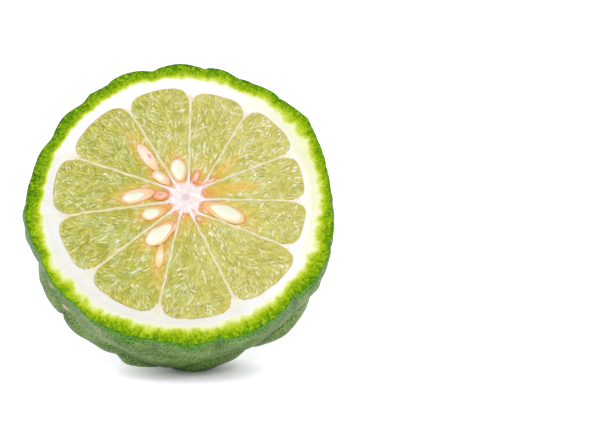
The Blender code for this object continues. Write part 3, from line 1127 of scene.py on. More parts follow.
    def ring_marks(self, points: np.ndarray, turn: np.ndarray, share: np.ndarray) -> dict[str, np.ndarray]:
        """Work out what the zest's material reads.

        Args:
            points: Places in the fruit's frame.
            turn: Angles round the cut face.
            share: From 0 at the skin to 1 at the inside.

        Returns:
            Attribute name to values.
        """
        direction, arc = np.arctan2(points[:, 1], points[:, 0]), turn * self.ring_radius
        fine, broad = self.scallops
        scallop = fine * np.sin(1.15 * arc + 2.0 * np.sin(0.31 * arc)) + broad * np.sin(0.47 * arc + 1.0)
        power = self.green_power - self.sun_power * np.cos(direction - self.sunward)
        for degrees, more in self.greener:
            power += more * smooth(0.80, 1.0, np.cos(direction - math.radians(degrees)))
        flat = self.ring_radius * np.stack([np.cos(direction), np.sin(direction)])
        return {
            "ring": share**power + scallop * 4.0 * share * (1.0 - share),
            "shade_and_tint": pith_shade_and_tint(points[:, 0], points[:, 1]),
            "grain": np.stack([*flat, share * self.ring_width], axis=1),
        }


@dataclass
class Pith:
    """The white pith: outer ring, membranes between the juice segments, and the core.

    Columns of the mesh run round the core, some on each membrane and some on each segment, and its rows
    run out from the core and then down over the bowl.
    """

    membrane_columns: int = 4
    segment_columns: int = 30
    top_rows: int = 132
    under_rows: int = 8
    outer: float = 28.25
    bowl_gap: float = 0.8
    narrowest: float = 4.6
    shelf: float = 0.5
    pocket: float = 0.90
    ridge: float = 0.13    # height of the cut membranes, where they stand clear of core and ring
    ridge_starts: tuple[float, float] = (4.0, 7.0)
    ridge_ends: tuple[float, float] = (19.0, 24.0)
    ring_dip: float = 0.02    # lets the zest's edge lie a little over the pith's
    dip_starts: tuple[float, float] = (25.5, 27.2)
    fibre: float = 0.10    # height of the core's fibres
    fibre_count: int = 33
    core_fades: tuple[float, float] = (3.2, 7.0)
    dot_edge: tuple[float, float] = (0.55, 1.15)
    wall_starts: tuple[float, float] = (3.6, 6.5)
    wall_ends: tuple[float, float] = (0.80, 1.06)    # as shares of the segment's outer radius

    def build(self, material: bpy.types.Material) -> bpy.types.Object:
        """Build the pith as one closed mesh with a bag for every juice segment.

        Args:
            material: The pith's material.

        Returns:
            The pith's object.
        """
        per_part = self.membrane_columns + self.segment_columns
        columns, rows = len(FRUIT.membranes) * per_part, self.top_rows + self.under_rows
        mesh, around, path = lattice(columns, rows)
        column = np.rint(around * columns).astype(int) % columns
        part, local = column // per_part, column % per_part
        share = np.clip(path * rows / self.top_rows, 0.0, 1.0)
        down = np.clip((path * rows - self.top_rows) / self.under_rows, 0.0, 1.0)
        turn = np.zeros(len(column))
        for _ in range(3):
            radius = share * self.edge_distance(turn)
            turn = self.column_angle(part, local, radius)
        x, y = FRUIT.spot(turn, radius)
        height, wall = self.top_height(part, local, radius, turn)
        values = self.marks(part, local, radius, turn, wall)

        under = down > 0.001
        fall = down * math.pi / 2
        deep = FRUIT.base_deep - FRUIT.zest + FRUIT.bulge_centre - self.bowl_gap
        middle_x, middle_y = FRUIT.cup_shift
        x = np.where(under, middle_x + (x - middle_x) * np.cos(fall), x)
        y = np.where(under, middle_y + (y - middle_y) * np.cos(fall), y)
        height = np.where(under, -deep * np.sin(fall), height)
        values = {name: np.where(under, 0.0, value) for name, value in values.items()}
        values["shade_and_tint"] = pith_shade_and_tint(x, y)
        shape(mesh, np.stack([x, y, height], axis=1), values)
        return finish_piece("pith_with_membranes", mesh, [material], ("pith",))

    def edge_distance(self, turn: np.ndarray) -> np.ndarray:
        """Measure the pith's round outer edge from the core, which is off its middle.

        Args:
            turn: Directions from the core.

        Returns:
            The edge's distance in each direction.
        """
        offset = np.array(FRUIT.core) - np.array(FRUIT.cup_shift)
        along = offset[0] * np.cos(turn) + offset[1] * np.sin(turn)
        return -along + np.sqrt(along**2 - offset @ offset + self.outer**2)

    def column_angle(self, part: np.ndarray, local: np.ndarray, radius: np.ndarray) -> np.ndarray:
        """Return each column's direction from the core at its radius.

        Args:
            part: Number of the segment, or of the membrane before it.
            local: The column's number within both.
            radius: Distance from the core.

        Returns:
            An angle for each place.
        """
        far = np.maximum(radius, self.narrowest)
        half_wall = FRUIT.membrane / 2 / far
        across = 2.0 * local / self.membrane_columns - 1.0
        share = (local - self.membrane_columns) / self.segment_columns
        turn = np.zeros(len(radius))
        for index in range(len(FRUIT.membranes)):
            here = part == index
            centre, half = FRUIT.membrane_angle(index, far[here]), half_wall[here]
            opening = 2.0 * FRUIT.half_opening(index, far[here]) - 2.0 * half
            on_wall, on_segment = centre + across[here] * half, centre + half + share[here] * opening
            turn[here] = np.where(local[here] < self.membrane_columns, on_wall, on_segment)
        return turn

    def top_height(
        self, part: np.ndarray, local: np.ndarray, radius: np.ndarray, turn: np.ndarray
    ) -> tuple[np.ndarray, np.ndarray]:
        """Return the height of the pith's face, and where it is a thin membrane.

        Args:
            part: Number of the segment, or of the membrane before it.
            local: The column's number within both.
            radius: Distance from the core.
            turn: Direction from the core.

        Returns:
            Heights, and numbers from 0 in the white pith to 1 in a membrane.
        """
        share = (local - self.membrane_columns) / self.segment_columns
        across = np.where(local >= self.membrane_columns, 2.0 * share - 1.0, 1.0)
        outer = np.array(FRUIT.segment_radii)[part]
        inner = np.array([FRUIT.inner_radius(index) for index in range(len(FRUIT.membranes))])[part]
        level = FRUIT.outline_level(2.0 * (radius - inner) / (outer - inner) - 1.0, across)
        reach = FRUIT.segment_depth - FRUIT.bulge_centre
        bag = FRUIT.bulge_centre + reach * np.sqrt(np.clip(1.0 - (level / self.pocket) ** 2, 0.0, 1.0))
        x, y = FRUIT.spot(turn, radius)
        flat = cut_waves(x, y) - self.ring_dip * smooth(*self.dip_starts, np.hypot(x, y))
        ridge = self.ridge * smooth(*self.ridge_starts, radius) * (1.0 - smooth(*self.ridge_ends, radius))
        flat += np.where(local < self.membrane_columns + 1, ridge, 0.0)
        fibrous = smooth(0.3, 2.0, radius) * (1.0 - smooth(2.5, 5.0, radius))
        flat += self.fibre * fibrous * np.sin(self.fibre_count * turn)
        height = np.where(level < 1.0, -self.shelf, flat)
        height = np.where(level < self.pocket, -bag, height)
        wall = smooth(*self.wall_starts, radius) * (1.0 - smooth(*self.wall_ends, radius / outer))
        return height, wall

    def marks(
        self, part: np.ndarray, local: np.ndarray, radius: np.ndarray, turn: np.ndarray, wall: np.ndarray
    ) -> dict[str, np.ndarray]:
        """Work out what the pith's material reads on the cut face.

        Args:
            part: Number of the segment, or of the membrane before it.
            local: The column's number within both.
            radius: Distance from the core.
            turn: Direction from the core.
            wall: From 0 in the white pith to 1 in a membrane.

        Returns:
            Attribute name to values.
        """
        in_segment = local > self.membrane_columns
        bow = 2.0 * (local - self.membrane_columns) / self.segment_columns - 1.0
        blush = smooth(2.9, 3.6, radius + 0.3 * np.sin(9.0 * turn)) * (1.0 - np.abs(bow) ** 3) * in_segment
        side = np.abs(2.0 * local / self.membrane_columns - 1.0)
        frail = 0.5 + 0.5 * np.sin(1.9 * radius + 5.0 * part + 1.5 * np.sin(0.9 * radius + part))
        core = 1.0 - smooth(*self.core_fades, radius)
        return {
            "wall": wall * 0.85,
            "core": core,
            "thin": wall * (0.30 + 0.7 * frail) * (0.25 + 0.75 * side) * ~in_segment,
            "blush": 0.8 * blush * core,
            "dot": 1.0 - smooth(*self.dot_edge, radius),
        }


@dataclass(frozen=True)
class Oval:
    """A long patch in one segment's cut face, in millimetres and degrees."""

    segment: int
    centre: tuple[float, float]
    length: float
    width: float
    turn: float

    def distance(self, x: np.ndarray, y: np.ndarray) -> np.ndarray:
        """Measure roughly how far places are from the patch's outline.

        Args:
            x: Places to the right.
            y: Places up the face.

        Returns:
            Distances, negative inside the patch.
        """
        spin = math.radians(self.turn)
        dx, dy = x - self.centre[0], y - self.centre[1]
        along = dx * math.cos(spin) + dy * math.sin(spin)
        across = dy * math.cos(spin) - dx * math.sin(spin)
        level = np.hypot(along / (self.length / 2), across / (self.width / 2))
        return (level - 1.0) * self.width / 2


@dataclass(frozen=True)
class Seed:
    """One seed or ovule in the cut face: its coat's outline, and its kernel's where it has one."""

    coat: Oval
    tissue: Tissue = Tissue.OVULE
    node: str = ""
    kernel: Oval | None = None
    crown: float = 0.12


SEEDS = (
    Seed(Oval(4, (-0.5, 6.8), 6.0, 3.3, 97), Tissue.COAT, "seed_01", Oval(4, (-0.6, 7.0), 4.9, 2.7, 97)),
    Seed(
        Oval(11, (8.5, -2.75), 9.4, 3.7, -26), Tissue.COAT, "seed_02",
        Oval(11, (8.9, -2.85), 7.0, 2.9, -26),
    ),
    Seed(Oval(8, (-4.3, -7.3), 7.6, 3.6, 39), Tissue.COAT, "seed_03", Oval(8, (-4.6, -7.5), 6.4, 2.95, 39)),
    Seed(Oval(7, (-5.7, -2.7), 5.2, 2.8, 17), Tissue.COAT, "seed_04", Oval(7, (-6.1, -2.85), 3.6, 2.2, 17)),
    Seed(Oval(6, (-8.9, 1.3), 7.0, 3.1, 14), Tissue.PEACH, "seed_05", Oval(6, (-9.7, 1.05), 4.6, 2.0, 14)),
    Seed(Oval(5, (-4.1, 5.2), 4.4, 2.2, -40), Tissue.PEACH, "seed_06", Oval(5, (-4.4, 5.4), 2.4, 1.45, -40)),
    Seed(Oval(5, (-6.7, 9.8), 7.6, 2.3, -57), Tissue.EMPTY, "seed_07"),
    Seed(Oval(8, (-4.5, -12.2), 5.6, 1.7, 82), Tissue.ABORTED, "seed_08"),
    Seed(Oval(6, (-4.1, 1.3), 3.2, 2.1, 5)),
    Seed(Oval(6, (-4.4, 1.3), 1.5, 0.9, 5), Tissue.SORE, crown=0.22),
    Seed(Oval(5, (-6.5, 10.2), 1.7, 0.7, -60), Tissue.SORE, crown=0.2),
    Seed(Oval(3, (3.1, 5.4), 3.0, 1.2, 72)),
    Seed(Oval(3, (2.3, 4.6), 1.6, 0.5, 66), Tissue.SORE, crown=0.2),
    Seed(Oval(2, (6.1, 4.4), 2.6, 0.8, 35)),
    Seed(Oval(2, (4.9, 3.7), 1.6, 0.6, 40)),
    Seed(Oval(10, (3.4, -4.3), 1.5, 0.8, -60)),
    Seed(Oval(8, (-1.5, -6.0), 2.4, 0.8, 72)),
)
GOLD_STREAKS = (Oval(2, (9.2, 7.6), 5.0, 1.6, 42), Oval(1, (9.8, 2.6), 11.5, 2.2, 6))


@dataclass(frozen=True)
class Strokes:
    """Short curved strokes on the cut face: pale folds in the sacs' skins that also stand in for painted
    highlight streaks, and painted glints of juice.
    """

    rows: np.ndarray    # place (two numbers), direction, half length, half width, bend, strength

    def mark(self, x: np.ndarray, y: np.ndarray) -> np.ndarray:
        """Draw the strokes.

        Args:
            x: Places to the right.
            y: Places up the face.

        Returns:
            How much of a stroke is at each place, from 0 to 1.
        """
        dx, dy = x[:, None] - self.rows[:, 0], y[:, None] - self.rows[:, 1]
        turn, half_length, half_width, bend, strength = self.rows[:, 2:].T
        ahead = dx * np.cos(turn) + dy * np.sin(turn)
        aside = dy * np.cos(turn) - dx * np.sin(turn) + bend * ahead**2
        line = bell(aside, half_width) * (1.0 - smooth(0.5, 1.0, np.abs(ahead) / half_length))
        return (strength * line).max(axis=1)


@dataclass(frozen=True)
class Spot:
    """A round soft patch of the flesh, in millimetres."""

    place: tuple[float, float]
    size: float
    strength: float

    def mark(self, x: np.ndarray, y: np.ndarray) -> np.ndarray:
        """Return how much of the patch is at each place."""
        return self.strength * bell(np.hypot(x - self.place[0], y - self.place[1]), self.size)


CLEAR = Spot((-13.5, 11.5), 9.0, 0.6)    # smoother flesh, with fainter strokes
OLIVE = (Spot((-6.8, -5.2), 1.4, 0.9), Spot((2.4, -5.4), 0.9, 0.5), Spot((-8.0, 6.0), 1.6, 0.4))
AMBER = (
    Spot((-0.9, -7.4), 0.9, 0.9), Spot((-3.0, -9.6), 0.9, 0.6), Spot((4.3, -4.3), 0.7, 1.0),
    Spot((-3.4, 4.6), 1.1, 0.7), Spot((6.0, 1.6), 1.8, 0.7), Spot((7.0, 5.9), 1.4, 0.6),
    Spot((-7.0, 2.9), 1.3, 0.7), Spot((5.6, -1.2), 1.0, 0.6), Spot((-2.0, -5.0), 0.7, 1.0),
    Spot((-5.6, 7.4), 1.0, 0.6), Spot((4.2, 5.0), 0.9, 0.7),
)


@dataclass
class Segment:
    """One juice segment: a bag of juice sacs with its cut face up.

    Places in it are given by how far they are along, from -1 at the tip to 1 at the round end, and
    across, from -1 at one membrane to 1 at the next.
    """

    index: int
    along: int = 190
    across: int = 120
    side_levels: tuple = (0.04, 0.3, 0.58, 0.8, 0.93)
    end_bulge: float = 1.2
    overlap: float = 0.06
    lift: float = -0.06
    rim_lift: float = 0.02
    rim_width: float = 0.06
    sac_height: float = 0.17
    sac_tries: int = 5200
    sac_spacing: tuple[float, float] = (1.25, 0.52)
    thread_height: float = 0.05
    # thread_shade: offset of the painted shadow beside each thread
    thread_shade: float = 0.18    # how far a thread's dark side is from it, to the left and up
    seed_dent: float = 0.20
    seed_halos: tuple = (0.16, 0.8, 1.3)    # widths of the stain, the dent and the gold round a seed
    fan: float = 0.75    # radians by which the sacs at the membranes lean outwards
    swirl: float = 0.34
    bunch: int = 3    # strokes that lie side by side
    bunch_spread: float = 0.75
    # segments given more painted glints
    glossy: tuple = (1, 2)    # segments that catch more glints
    glint_bunches: tuple[int, int] = (7, 11)

    def place(self, along: np.ndarray, across: np.ndarray, depth: float) -> np.ndarray:
        """Return places in the segment.

        Args:
            along: From -1 at the tip to 1 at the round end.
            across: From -1 at one membrane to 1 at the next.
            depth: Depth behind the cut.

        Returns:
            One place a row.
        """
        inner = FRUIT.inner_radius(self.index) - self.overlap
        outer = FRUIT.segment_radii[self.index] * FRUIT.shrink(depth) + self.overlap
        radius = inner + (outer - inner) * (1.0 + along) / 2
        half = FRUIT.half_opening(self.index, radius)
        wall = FRUIT.membrane / 2 - self.overlap
        side = np.maximum(half - wall / radius, (FRUIT.tip_half_width + FRUIT.fit_gap) / radius)
        turn = FRUIT.membrane_angle(self.index, radius) + half + across * FRUIT.rounded(along) * side
        x, y = FRUIT.spot(turn, radius)
        return np.stack([x, y, np.full_like(x, -depth)], axis=1)

    def lean(self, spots: np.ndarray, across: np.ndarray) -> np.ndarray:
        """Work out which way the sacs lie: out from the core, fanned to the sides and swirled.

        Args:
            spots: Places of the cut face.
            across: How far they are across the segment.

        Returns:
            A direction for each place.
        """
        reach = spots - np.array(FRUIT.core)
        radius = np.hypot(reach[:, 0], reach[:, 1])
        swirl = self.swirl * np.sin(0.62 * spots[:, 0] + 1.3 * self.index)
        swirl += self.swirl * np.sin(0.57 * spots[:, 1] + self.index)
        turn = np.arctan2(reach[:, 1], reach[:, 0])
        return turn + self.fan * across * smooth(6.0, 25.0, radius) + swirl * smooth(5.0, 12.0, radius)

    def strokes(self, bunches: int, half_length: tuple, half_width: tuple, seed: int) -> Strokes:
        """Scatter strokes over the cut face in loose bunches.

        Args:
            bunches: Number of bunches.
            half_length: Range of their half lengths.
            half_width: Range of their half widths.
            seed: Seed of the random draws, together with the segment's number.

        Returns:
            The strokes.
        """
        each, spread = self.bunch, self.bunch_spread
        draw = np.random.default_rng(seed + self.index)
        count = bunches * each
        along = 1.9 * draw.random(bunches) ** 0.75 - 0.93
        across = draw.uniform(-0.92, 0.92, bunches)
        spots = self.place(along, across, 0.0)[:, :2]
        turn = self.lean(spots, across) + draw.normal(0.0, 0.40, bunches)
        return Strokes(np.stack([
            np.repeat(spots[:, 0], each) + draw.normal(0.0, spread, count),
            np.repeat(spots[:, 1], each) + draw.normal(0.0, spread, count),
            np.repeat(turn, each) + draw.normal(0.0, 0.22, count),
            draw.uniform(*half_length, count),
            draw.uniform(*half_width, count),
            draw.uniform(-0.25, 0.25, count),
            draw.uniform(0.2, 1.0, count),
        ], axis=1))

    def sacs(self) -> np.ndarray:
        """Lay out the juice sacs.

        Returns:
            A row for each sac: its place (two numbers), direction, half length, half width, rank in
            height, tone and bend.
        """
        draw = np.random.default_rng(300 + self.index)
        tries = self.sac_tries
        along, across = draw.uniform(-0.98, 1.0, tries), draw.uniform(-1.0, 1.0, tries)
        spots = self.place(along, across, 0.0)[:, :2]
        radius = np.hypot(*(spots - np.array(FRUIT.core)).T)
        turn = self.lean(spots, across) + draw.normal(0.0, 0.5, tries)
        half_length = draw.uniform(0.7, 1.6, tries) * (1.0 - 0.3 * smooth(20.0, 26.0, radius))
        half_width = draw.uniform(0.26, 0.50, tries)
        rank, tone = draw.uniform(-0.4, 0.4, tries), draw.random(tries)
        bend = draw.uniform(-0.18, 0.18, tries)
        rows = np.stack([*spots.T, turn, half_length, half_width, rank, tone, bend], axis=1)
        kept = rows[:1]
        for row in rows[1:]:
            dx, dy = row[0] - kept[:, 0], row[1] - kept[:, 1]
            ahead = dx * np.cos(kept[:, 2]) + dy * np.sin(kept[:, 2])
            aside = dy * np.cos(kept[:, 2]) - dx * np.sin(kept[:, 2])
            if np.hypot(ahead / self.sac_spacing[0], aside / self.sac_spacing[1]).min() > 1.0:
                kept = np.vstack([kept, row])
        return kept

    def sac_field(self, x: np.ndarray, y: np.ndarray) -> dict[str, np.ndarray]:
        """Return the sacs' relief at places of the cut face.

        Args:
            x: Places to the right.
            y: Places up the face.

        Returns:
            The height from 0 to 1, how close each place is to the skin of a pale sac ("edge") and of a dark
            one ("rim"), the sac's own tone with painted light on one side and painted shade on the other, and
            coordinates that run across and along the sac.
        """
        rows = self.sacs()
        dx, dy = x[:, None] - rows[:, 0], y[:, None] - rows[:, 1]
        ahead = dx * np.cos(rows[:, 2]) + dy * np.sin(rows[:, 2])
        aside = dy * np.cos(rows[:, 2]) - dx * np.sin(rows[:, 2]) + rows[:, 7] * ahead**2
        slim = np.clip(1.0 + 0.22 * ahead / rows[:, 3], 0.6, 1.4)
        level = (ahead / rows[:, 3]) ** 2 + (aside / (rows[:, 4] * slim)) ** 2
        score = rows[:, 5] + 1.0 - level
        best, pick = score.argmax(axis=1), np.arange(len(x))
        top = score[pick, best]
        score[pick, best] = -np.inf
        gap = top - score.max(axis=1)
        tone = rows[best, 6]
        side = np.clip(aside[pick, best] / rows[best, 4], -1.0, 1.0)
        return {
            "height": np.clip(top + 0.8, 0.0, 1.8) / 1.8,
            "edge": bell(gap, 0.20) * smooth(0.4, 0.9, tone),
            "rim": bell(gap, 0.22) * smooth(0.7, 0.2, tone),
            # painted light and shade: each sac lighter on one side and darker on the other
            "tone": tone + 0.35 * side,
            "grain": np.stack([aside[pick, best], 0.55 * ahead[pick, best], 3.7 * best], axis=1),
        }

    def stains(self, x: np.ndarray, y: np.ndarray, across: np.ndarray, inside: np.ndarray) -> dict:
        """Stain the flesh near the core, the membranes and the seeds.

        Args:
            x: Places to the right.
            y: Places up the face.
            across: How far they are across the segment.
            inside: From 0 on the segment's outline to 1 at 1/10 of its width from it.

        Returns:
            The strengths of the orange stain, the gold tint and the gold streaks, and how much the flesh
            sinks round the seeds ("dent").
        """
        radius = np.hypot(x - FRUIT.core[0], y - FRUIT.core[1])
        near_wall = bell((1.0 - np.abs(across)) * radius * 0.25, 0.18) * (1.0 - smooth(4.5, 9.5, radius))
        stain = np.maximum(0.85 * bell(radius - 3.6, 1.3), 0.75 * near_wall)
        gold = np.maximum(0.62 * bell(radius - 4.0, 4.5), 0.20 * (1.0 - inside))
        streak, dent = np.zeros(len(x)), np.zeros(len(x))
        for oval in GOLD_STREAKS:
            if oval.segment == self.index + 1:
                streak = np.maximum(streak, 1.0 - smooth(-0.5, 0.9, oval.distance(x, y)))
        for seed in SEEDS:
            if seed.coat.segment == self.index + 1:
                away = np.maximum(seed.coat.distance(x, y), 0.0)
                stain = np.maximum(stain, 0.75 * bell(away, self.seed_halos[0]))
                dent += bell(away, self.seed_halos[1])
                gold = np.maximum(gold, 0.70 * bell(away, self.seed_halos[2]))
        return {"stain": stain, "gold": np.maximum(gold, 0.95 * streak), "streak": streak, "dent": dent}

    def build(self, material: bpy.types.Material) -> bpy.types.Object:
        """Build the segment as one closed mesh.

        Args:
            material: The flesh's material.

        Returns:
            The segment's object.
        """
        mesh, share, width = lattice(self.along, self.across)
        along, across = np.sin((share - 0.5) * math.pi), 2.0 * width - 1.0
        points = self.place(along, across, 0.0)
        x, y = points[:, 0], points[:, 1]
        margin = 1.0 - FRUIT.outline_level(along, across * FRUIT.rounded(along))
        inside = smooth(0.0, 1.0, margin / self.rim_width)
        sacs = self.sac_field(x, y)
        stains = self.stains(x, y, across, smooth(0.0, 1.0, margin / 0.10))
        bunches = self.glint_bunches[self.index in self.glossy]
        # threads: the sacs' pale skins, partly painted highlight streaks
        threads = self.strokes(bunches=30, half_length=(0.45, 1.15), half_width=(0.09, 0.17), seed=500)
        glints = self.strokes(bunches=bunches, half_length=(0.25, 0.70), half_width=(0.06, 0.13), seed=700)
        thread = threads.mark(x, y) * (1.0 - 0.6 * smooth(9.0, 4.0, np.hypot(x, y)))
        points[:, 2] = cut_waves(x, y) + (1.0 - inside) * self.rim_lift + inside * (
            self.lift + self.sac_height * sacs["height"] + self.thread_height * thread
            - self.seed_dent * stains["dent"]
        )
        east, rough, plain = smooth(-8.0, 12.0, x), 1.0 - CLEAR.mark(x, y), 1.0 - stains["streak"]
        # the pale threads are stronger to the right, as painted highlight
        skins = np.maximum(0.35 * sacs["edge"], (0.35 + 0.45 * rough + 0.15 * east) * thread)
        thread_shadow = threads.mark(x + self.thread_shade, y - self.thread_shade)
        values = {
            "tone": (0.28 + 0.08 * east) * sacs["tone"],
            "edge": skins * smooth(0.0, 0.4, inside) * (0.5 + 0.5 * plain),
            # olive patches and dark sac outlines, and a painted shadow beside each thread
            "olive_and_shadow": np.maximum.reduce([
                *(spot.mark(x, y) for spot in OLIVE),
                rough * (0.40 + 0.35 * east) * thread_shadow * (1.0 - thread),
                rough * (0.24 + 0.80 * east) * sacs["rim"] * inside,
            ]),
            "amber": 0.60 * np.max([spot.mark(x, y) for spot in AMBER], axis=0),
            # painted highlights, more of them to the right
            "glint": np.clip((1.0 + 0.4 * east) * glints.mark(x, y) * inside * plain, 0.0, 1.0),
            # yellower and lighter towards the right
            "yellower_right": 0.34 * smooth(-14.0, 14.0, x + 0.1 * y),
            "stain": np.clip(stains["stain"], 0.0, 0.9),
            "gold": np.clip(stains["gold"], 0.0, 0.88),
            "grain": sacs["grain"],
            "along": along,
            "across": across,
        }
        shape(mesh, points, values)
        bmesh.ops.remove_doubles(mesh, verts=mesh.verts, dist=WELD)
        self.add_bag(mesh)
        number = f"{self.index + 1:02d}"
        return finish_piece(f"juice_sacs_{number}", mesh, [material], (f"pulp_{number}",))

    def add_bag(self, mesh: bmesh.types.BMesh) -> None:
        """Extrude the cut face's edge down into the bag and close it.

        Args:
            mesh: The cut face, whose vertices know their place along and across.
        """
        layers = mesh.verts.layers.float
        edges = [edge for edge in mesh.edges if edge.is_boundary]
        for level in (*self.side_levels, 1.0):
            new = bmesh.ops.extrude_edge_only(mesh, edges=edges)["geom"]
            edges = [item for item in new if isinstance(item, bmesh.types.BMEdge) and item.is_boundary]
            verts = [item for item in new if isinstance(item, bmesh.types.BMVert)]
            along = np.array([vert[layers["along"]] for vert in verts])
            across = np.array([vert[layers["across"]] for vert in verts])
            depth = min(level, self.side_levels[-1]) * FRUIT.segment_depth
            points = self.place(along, across, depth)
            if level == 1.0:
                points[:] = points.mean(axis=0)
                points[:, 2] -= self.end_bulge
            for vert, point in zip(verts, points):
                vert.co = point


@dataclass
class SeedPiece:
    """A seed as it shows in the cut: the coat, and the kernel that it holds."""

    seed: Seed
    number: int
    columns: int = 40
    rows: int = 24
    taper: float = 0.22
    waviness: float = 0.05
    kernel_crown: float = 0.32

    def egg(self, oval: Oval, crown: float) -> bmesh.types.BMesh:
        """Make an egg lying in the cut, slim towards the core.

        Args:
            oval: Its outline in the cut.
            crown: Height of its upper side.

        Returns:
            The bmesh, with the attributes "girth", from 0 at the middle to 1 at the outline, and
            "inner", from 0 at the outer end to 1 at the end near the core.
        """
        mesh = bmesh.new()
        bmesh.ops.create_uvsphere(mesh, u_segments=self.columns, v_segments=self.rows, radius=1.0)
        spin = Matrix.Rotation(math.radians(oval.turn), 4, "Z")
        middle, core = Vector((*oval.centre, 0.0)), Vector((*FRUIT.core, 0.0))
        inward = math.copysign(1.0, (spin @ Vector((1.0, 0.0, 0.0))).dot(core - middle))
        spots = np.array([vert.co for vert in mesh.verts])
        along, across, up = spots[:, 2], spots[:, 0], spots[:, 1]
        half_width = oval.width / 2 * (1.0 - self.taper * along * inward)
        half_height = np.where(up > 0, crown, oval.width / 2)
        wave = 1.0 + self.waviness * np.sin(5.0 * along + self.number) * (1.0 - along**2)
        points = np.stack([along * oval.length / 2, across * half_width * wave, up * half_height], axis=1)
        shape(mesh, points, {"girth": np.hypot(along, across), "inner": 0.5 + 0.5 * along * inward})
        bmesh.ops.transform(mesh, matrix=Matrix.Translation(middle) @ spin, verts=mesh.verts)
        return mesh

    def build(self, finishes: dict[Tissue, bpy.types.Material]) -> None:
        """Build the coat and, in a filled seed, the kernel.

        Args:
            finishes: Each tissue's material.
        """
        seed = self.seed
        coat = self.egg(seed.coat, seed.crown)
        nodes = (seed.node,) if seed.node else ()
        finish_piece(f"seed_coat_{self.number:02d}", coat, [finishes[seed.tissue]], nodes)
        if seed.kernel:
            kernel = self.egg(seed.kernel, self.kernel_crown)
            finish_piece(f"seed_kernel_{self.number:02d}", kernel, [finishes[Tissue.KERNEL]])


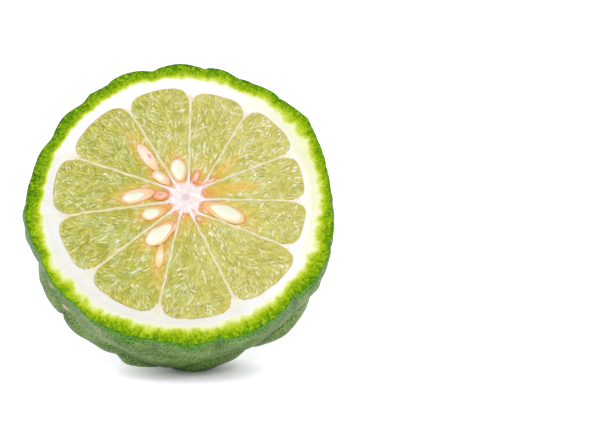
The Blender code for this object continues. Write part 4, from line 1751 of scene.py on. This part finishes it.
@dataclass
class Studio:
    """The white table, the soft lights and the camera."""

    focal: float = 100.0
    sensor: float = 36.0
    frame_size: tuple[int, int] = (600, 443)
    pixels_per_mm: float = 4.875
    elevation: float = math.radians(12.0)
    face_pixel: tuple[float, float] = (179.0, 199.5)
    table_half: float = 4.0    # metres
    # middle of the painted shadow on the table
    shade_place: tuple = (2.0, -12.0, 0.0)    # millimetres; the table glows less round this place
    shade_squeeze: tuple = (1.0, 1.6, 1.0)
    shade_reach: tuple[float, float] = (2.5, 16.0)
    glow: float = 0.70
    sky: float = 0.62    # strength overhead, of 1 at the horizon
    horizon: tuple[float, float] = (0.16, 0.45)    # heights between which the sky fades
    lamps: tuple = (    # degrees round and up, degrees across, and strength
        ("key", 235.0, 52.0, 22.0, 0.70), ("glint", 300.0, 40.0, 5.0, 0.45),
    )

    def build(self) -> None:
        """Build the whole studio."""
        self.add_floor()
        self.add_lights()
        self.add_camera()
        bpy.context.scene.view_settings.view_transform = "Standard"

    def add_floor(self) -> None:
        """Add a glossy white light table, a glow of painted light that is weaker near the fruit and so paints
        a shadow round it.
        """
        mesh = bmesh.new()
        bmesh.ops.create_grid(mesh, x_segments=2, y_segments=2, size=self.table_half)
        data = bpy.data.meshes.new("table_top")
        mesh.to_mesh(data)
        mesh.free()
        material, tree, shader = new_material("glowing_table_painted_shadow")
        place = add_node(tree, "TexCoord").outputs["Object"]
        oval = add_node(tree, "VectorMath", {0: place, 1: self.shade_squeeze}, operation="MULTIPLY")
        middle = tuple(MM * spot * squeeze for spot, squeeze in zip(self.shade_place, self.shade_squeeze))
        away = add_node(tree, "VectorMath", {0: oval, 1: middle}, operation="DISTANCE")
        near, far = self.shade_reach
        # the glow grows away from the fruit, which paints a shadow round it
        reach = {"Value": away, "From Min": near * MM, "From Max": far * MM, "To Max": self.glow}
        feed(tree, shader, {
            "Base Color": "#EEE7F7", "Roughness": 0.28, "IOR": 1.22, "Emission Color": "#F9F6FF",
            "Emission Strength": add_node(tree, "MapRange", reach),
        })
        data.materials.append(material)
        floor = bpy.data.objects.new("table_top", data)
        bpy.context.scene.collection.objects.link(floor)

    def add_lights(self) -> None:
        """Add a white sky, brightest at the horizon, one large lamp and a small one for glints."""
        world = bpy.data.worlds.new("studio_white")
        world.use_nodes = True
        tree = world.node_tree
        way = add_node(tree, "SeparateXYZ", {0: add_node(tree, "TexCoord").outputs["Generated"]})
        low, high = self.horizon
        strength = add_node(
            tree, "MapRange",
            {"Value": way.outputs["Z"], "From Min": low, "From Max": high, "To Min": 1.0, "To Max": self.sky},
        )
        feed(tree, tree.nodes["Background"], {"Color": "#FFFFFF", "Strength": strength})
        bpy.context.scene.world = world
        for name, turn, rise, wide, power in self.lamps:
            data = bpy.data.lights.new(name, "SUN")
            data.energy = power
            data.angle = math.radians(wide)
            lamp = bpy.data.objects.new(name, data)
            away = unit_vectors(np.radians([turn]), np.radians([rise]))[0]
            lamp.rotation_euler = Vector(away).to_track_quat("Z", "Y").to_euler()
            bpy.context.scene.collection.objects.link(lamp)

    def add_camera(self) -> None:
        """Add the camera where the photograph was taken from."""
        focal_pixels = self.focal / self.sensor * self.frame_size[0]
        away = focal_pixels / self.pixels_per_mm * MM
        face = FRUIT.matrix() @ Vector((0.0, 0.0, 0.0))
        spot = face + away * Vector((0.0, -math.cos(self.elevation), math.sin(self.elevation)))
        right = math.atan((self.frame_size[0] / 2 - self.face_pixel[0]) / focal_pixels)
        down = self.elevation + math.atan((self.frame_size[1] / 2 - self.face_pixel[1]) / focal_pixels)
        aim = Vector((math.sin(right) * math.cos(down), math.cos(right) * math.cos(down), -math.sin(down)))
        data = bpy.data.cameras.new("camera")
        data.lens = self.focal
        data.sensor_width = self.sensor
        camera = bpy.data.objects.new("camera", data)
        camera.location = spot
        camera.rotation_euler = aim.to_track_quat("-Z", "Y").to_euler()
        bpy.context.scene.collection.objects.link(camera)
        bpy.context.scene.camera = camera


def main() -> None:
    """Build the fruit and the studio."""
    logging.basicConfig(level=logging.INFO)
    Rind().build(RindSkin().material(), ZestCut().material())
    Pith().build(PithFlesh().material())
    flesh = JuiceSacs().material()
    for index in range(len(FRUIT.membranes)):
        Segment(index).build(flesh)
    finishes = {skin.tissue: skin.material() for skin in SEED_SKINS}
    for number, seed in enumerate(SEEDS, start=1):
        SeedPiece(seed, number).build(finishes)
    Studio().build()


if __name__ == "__main__":
    main()
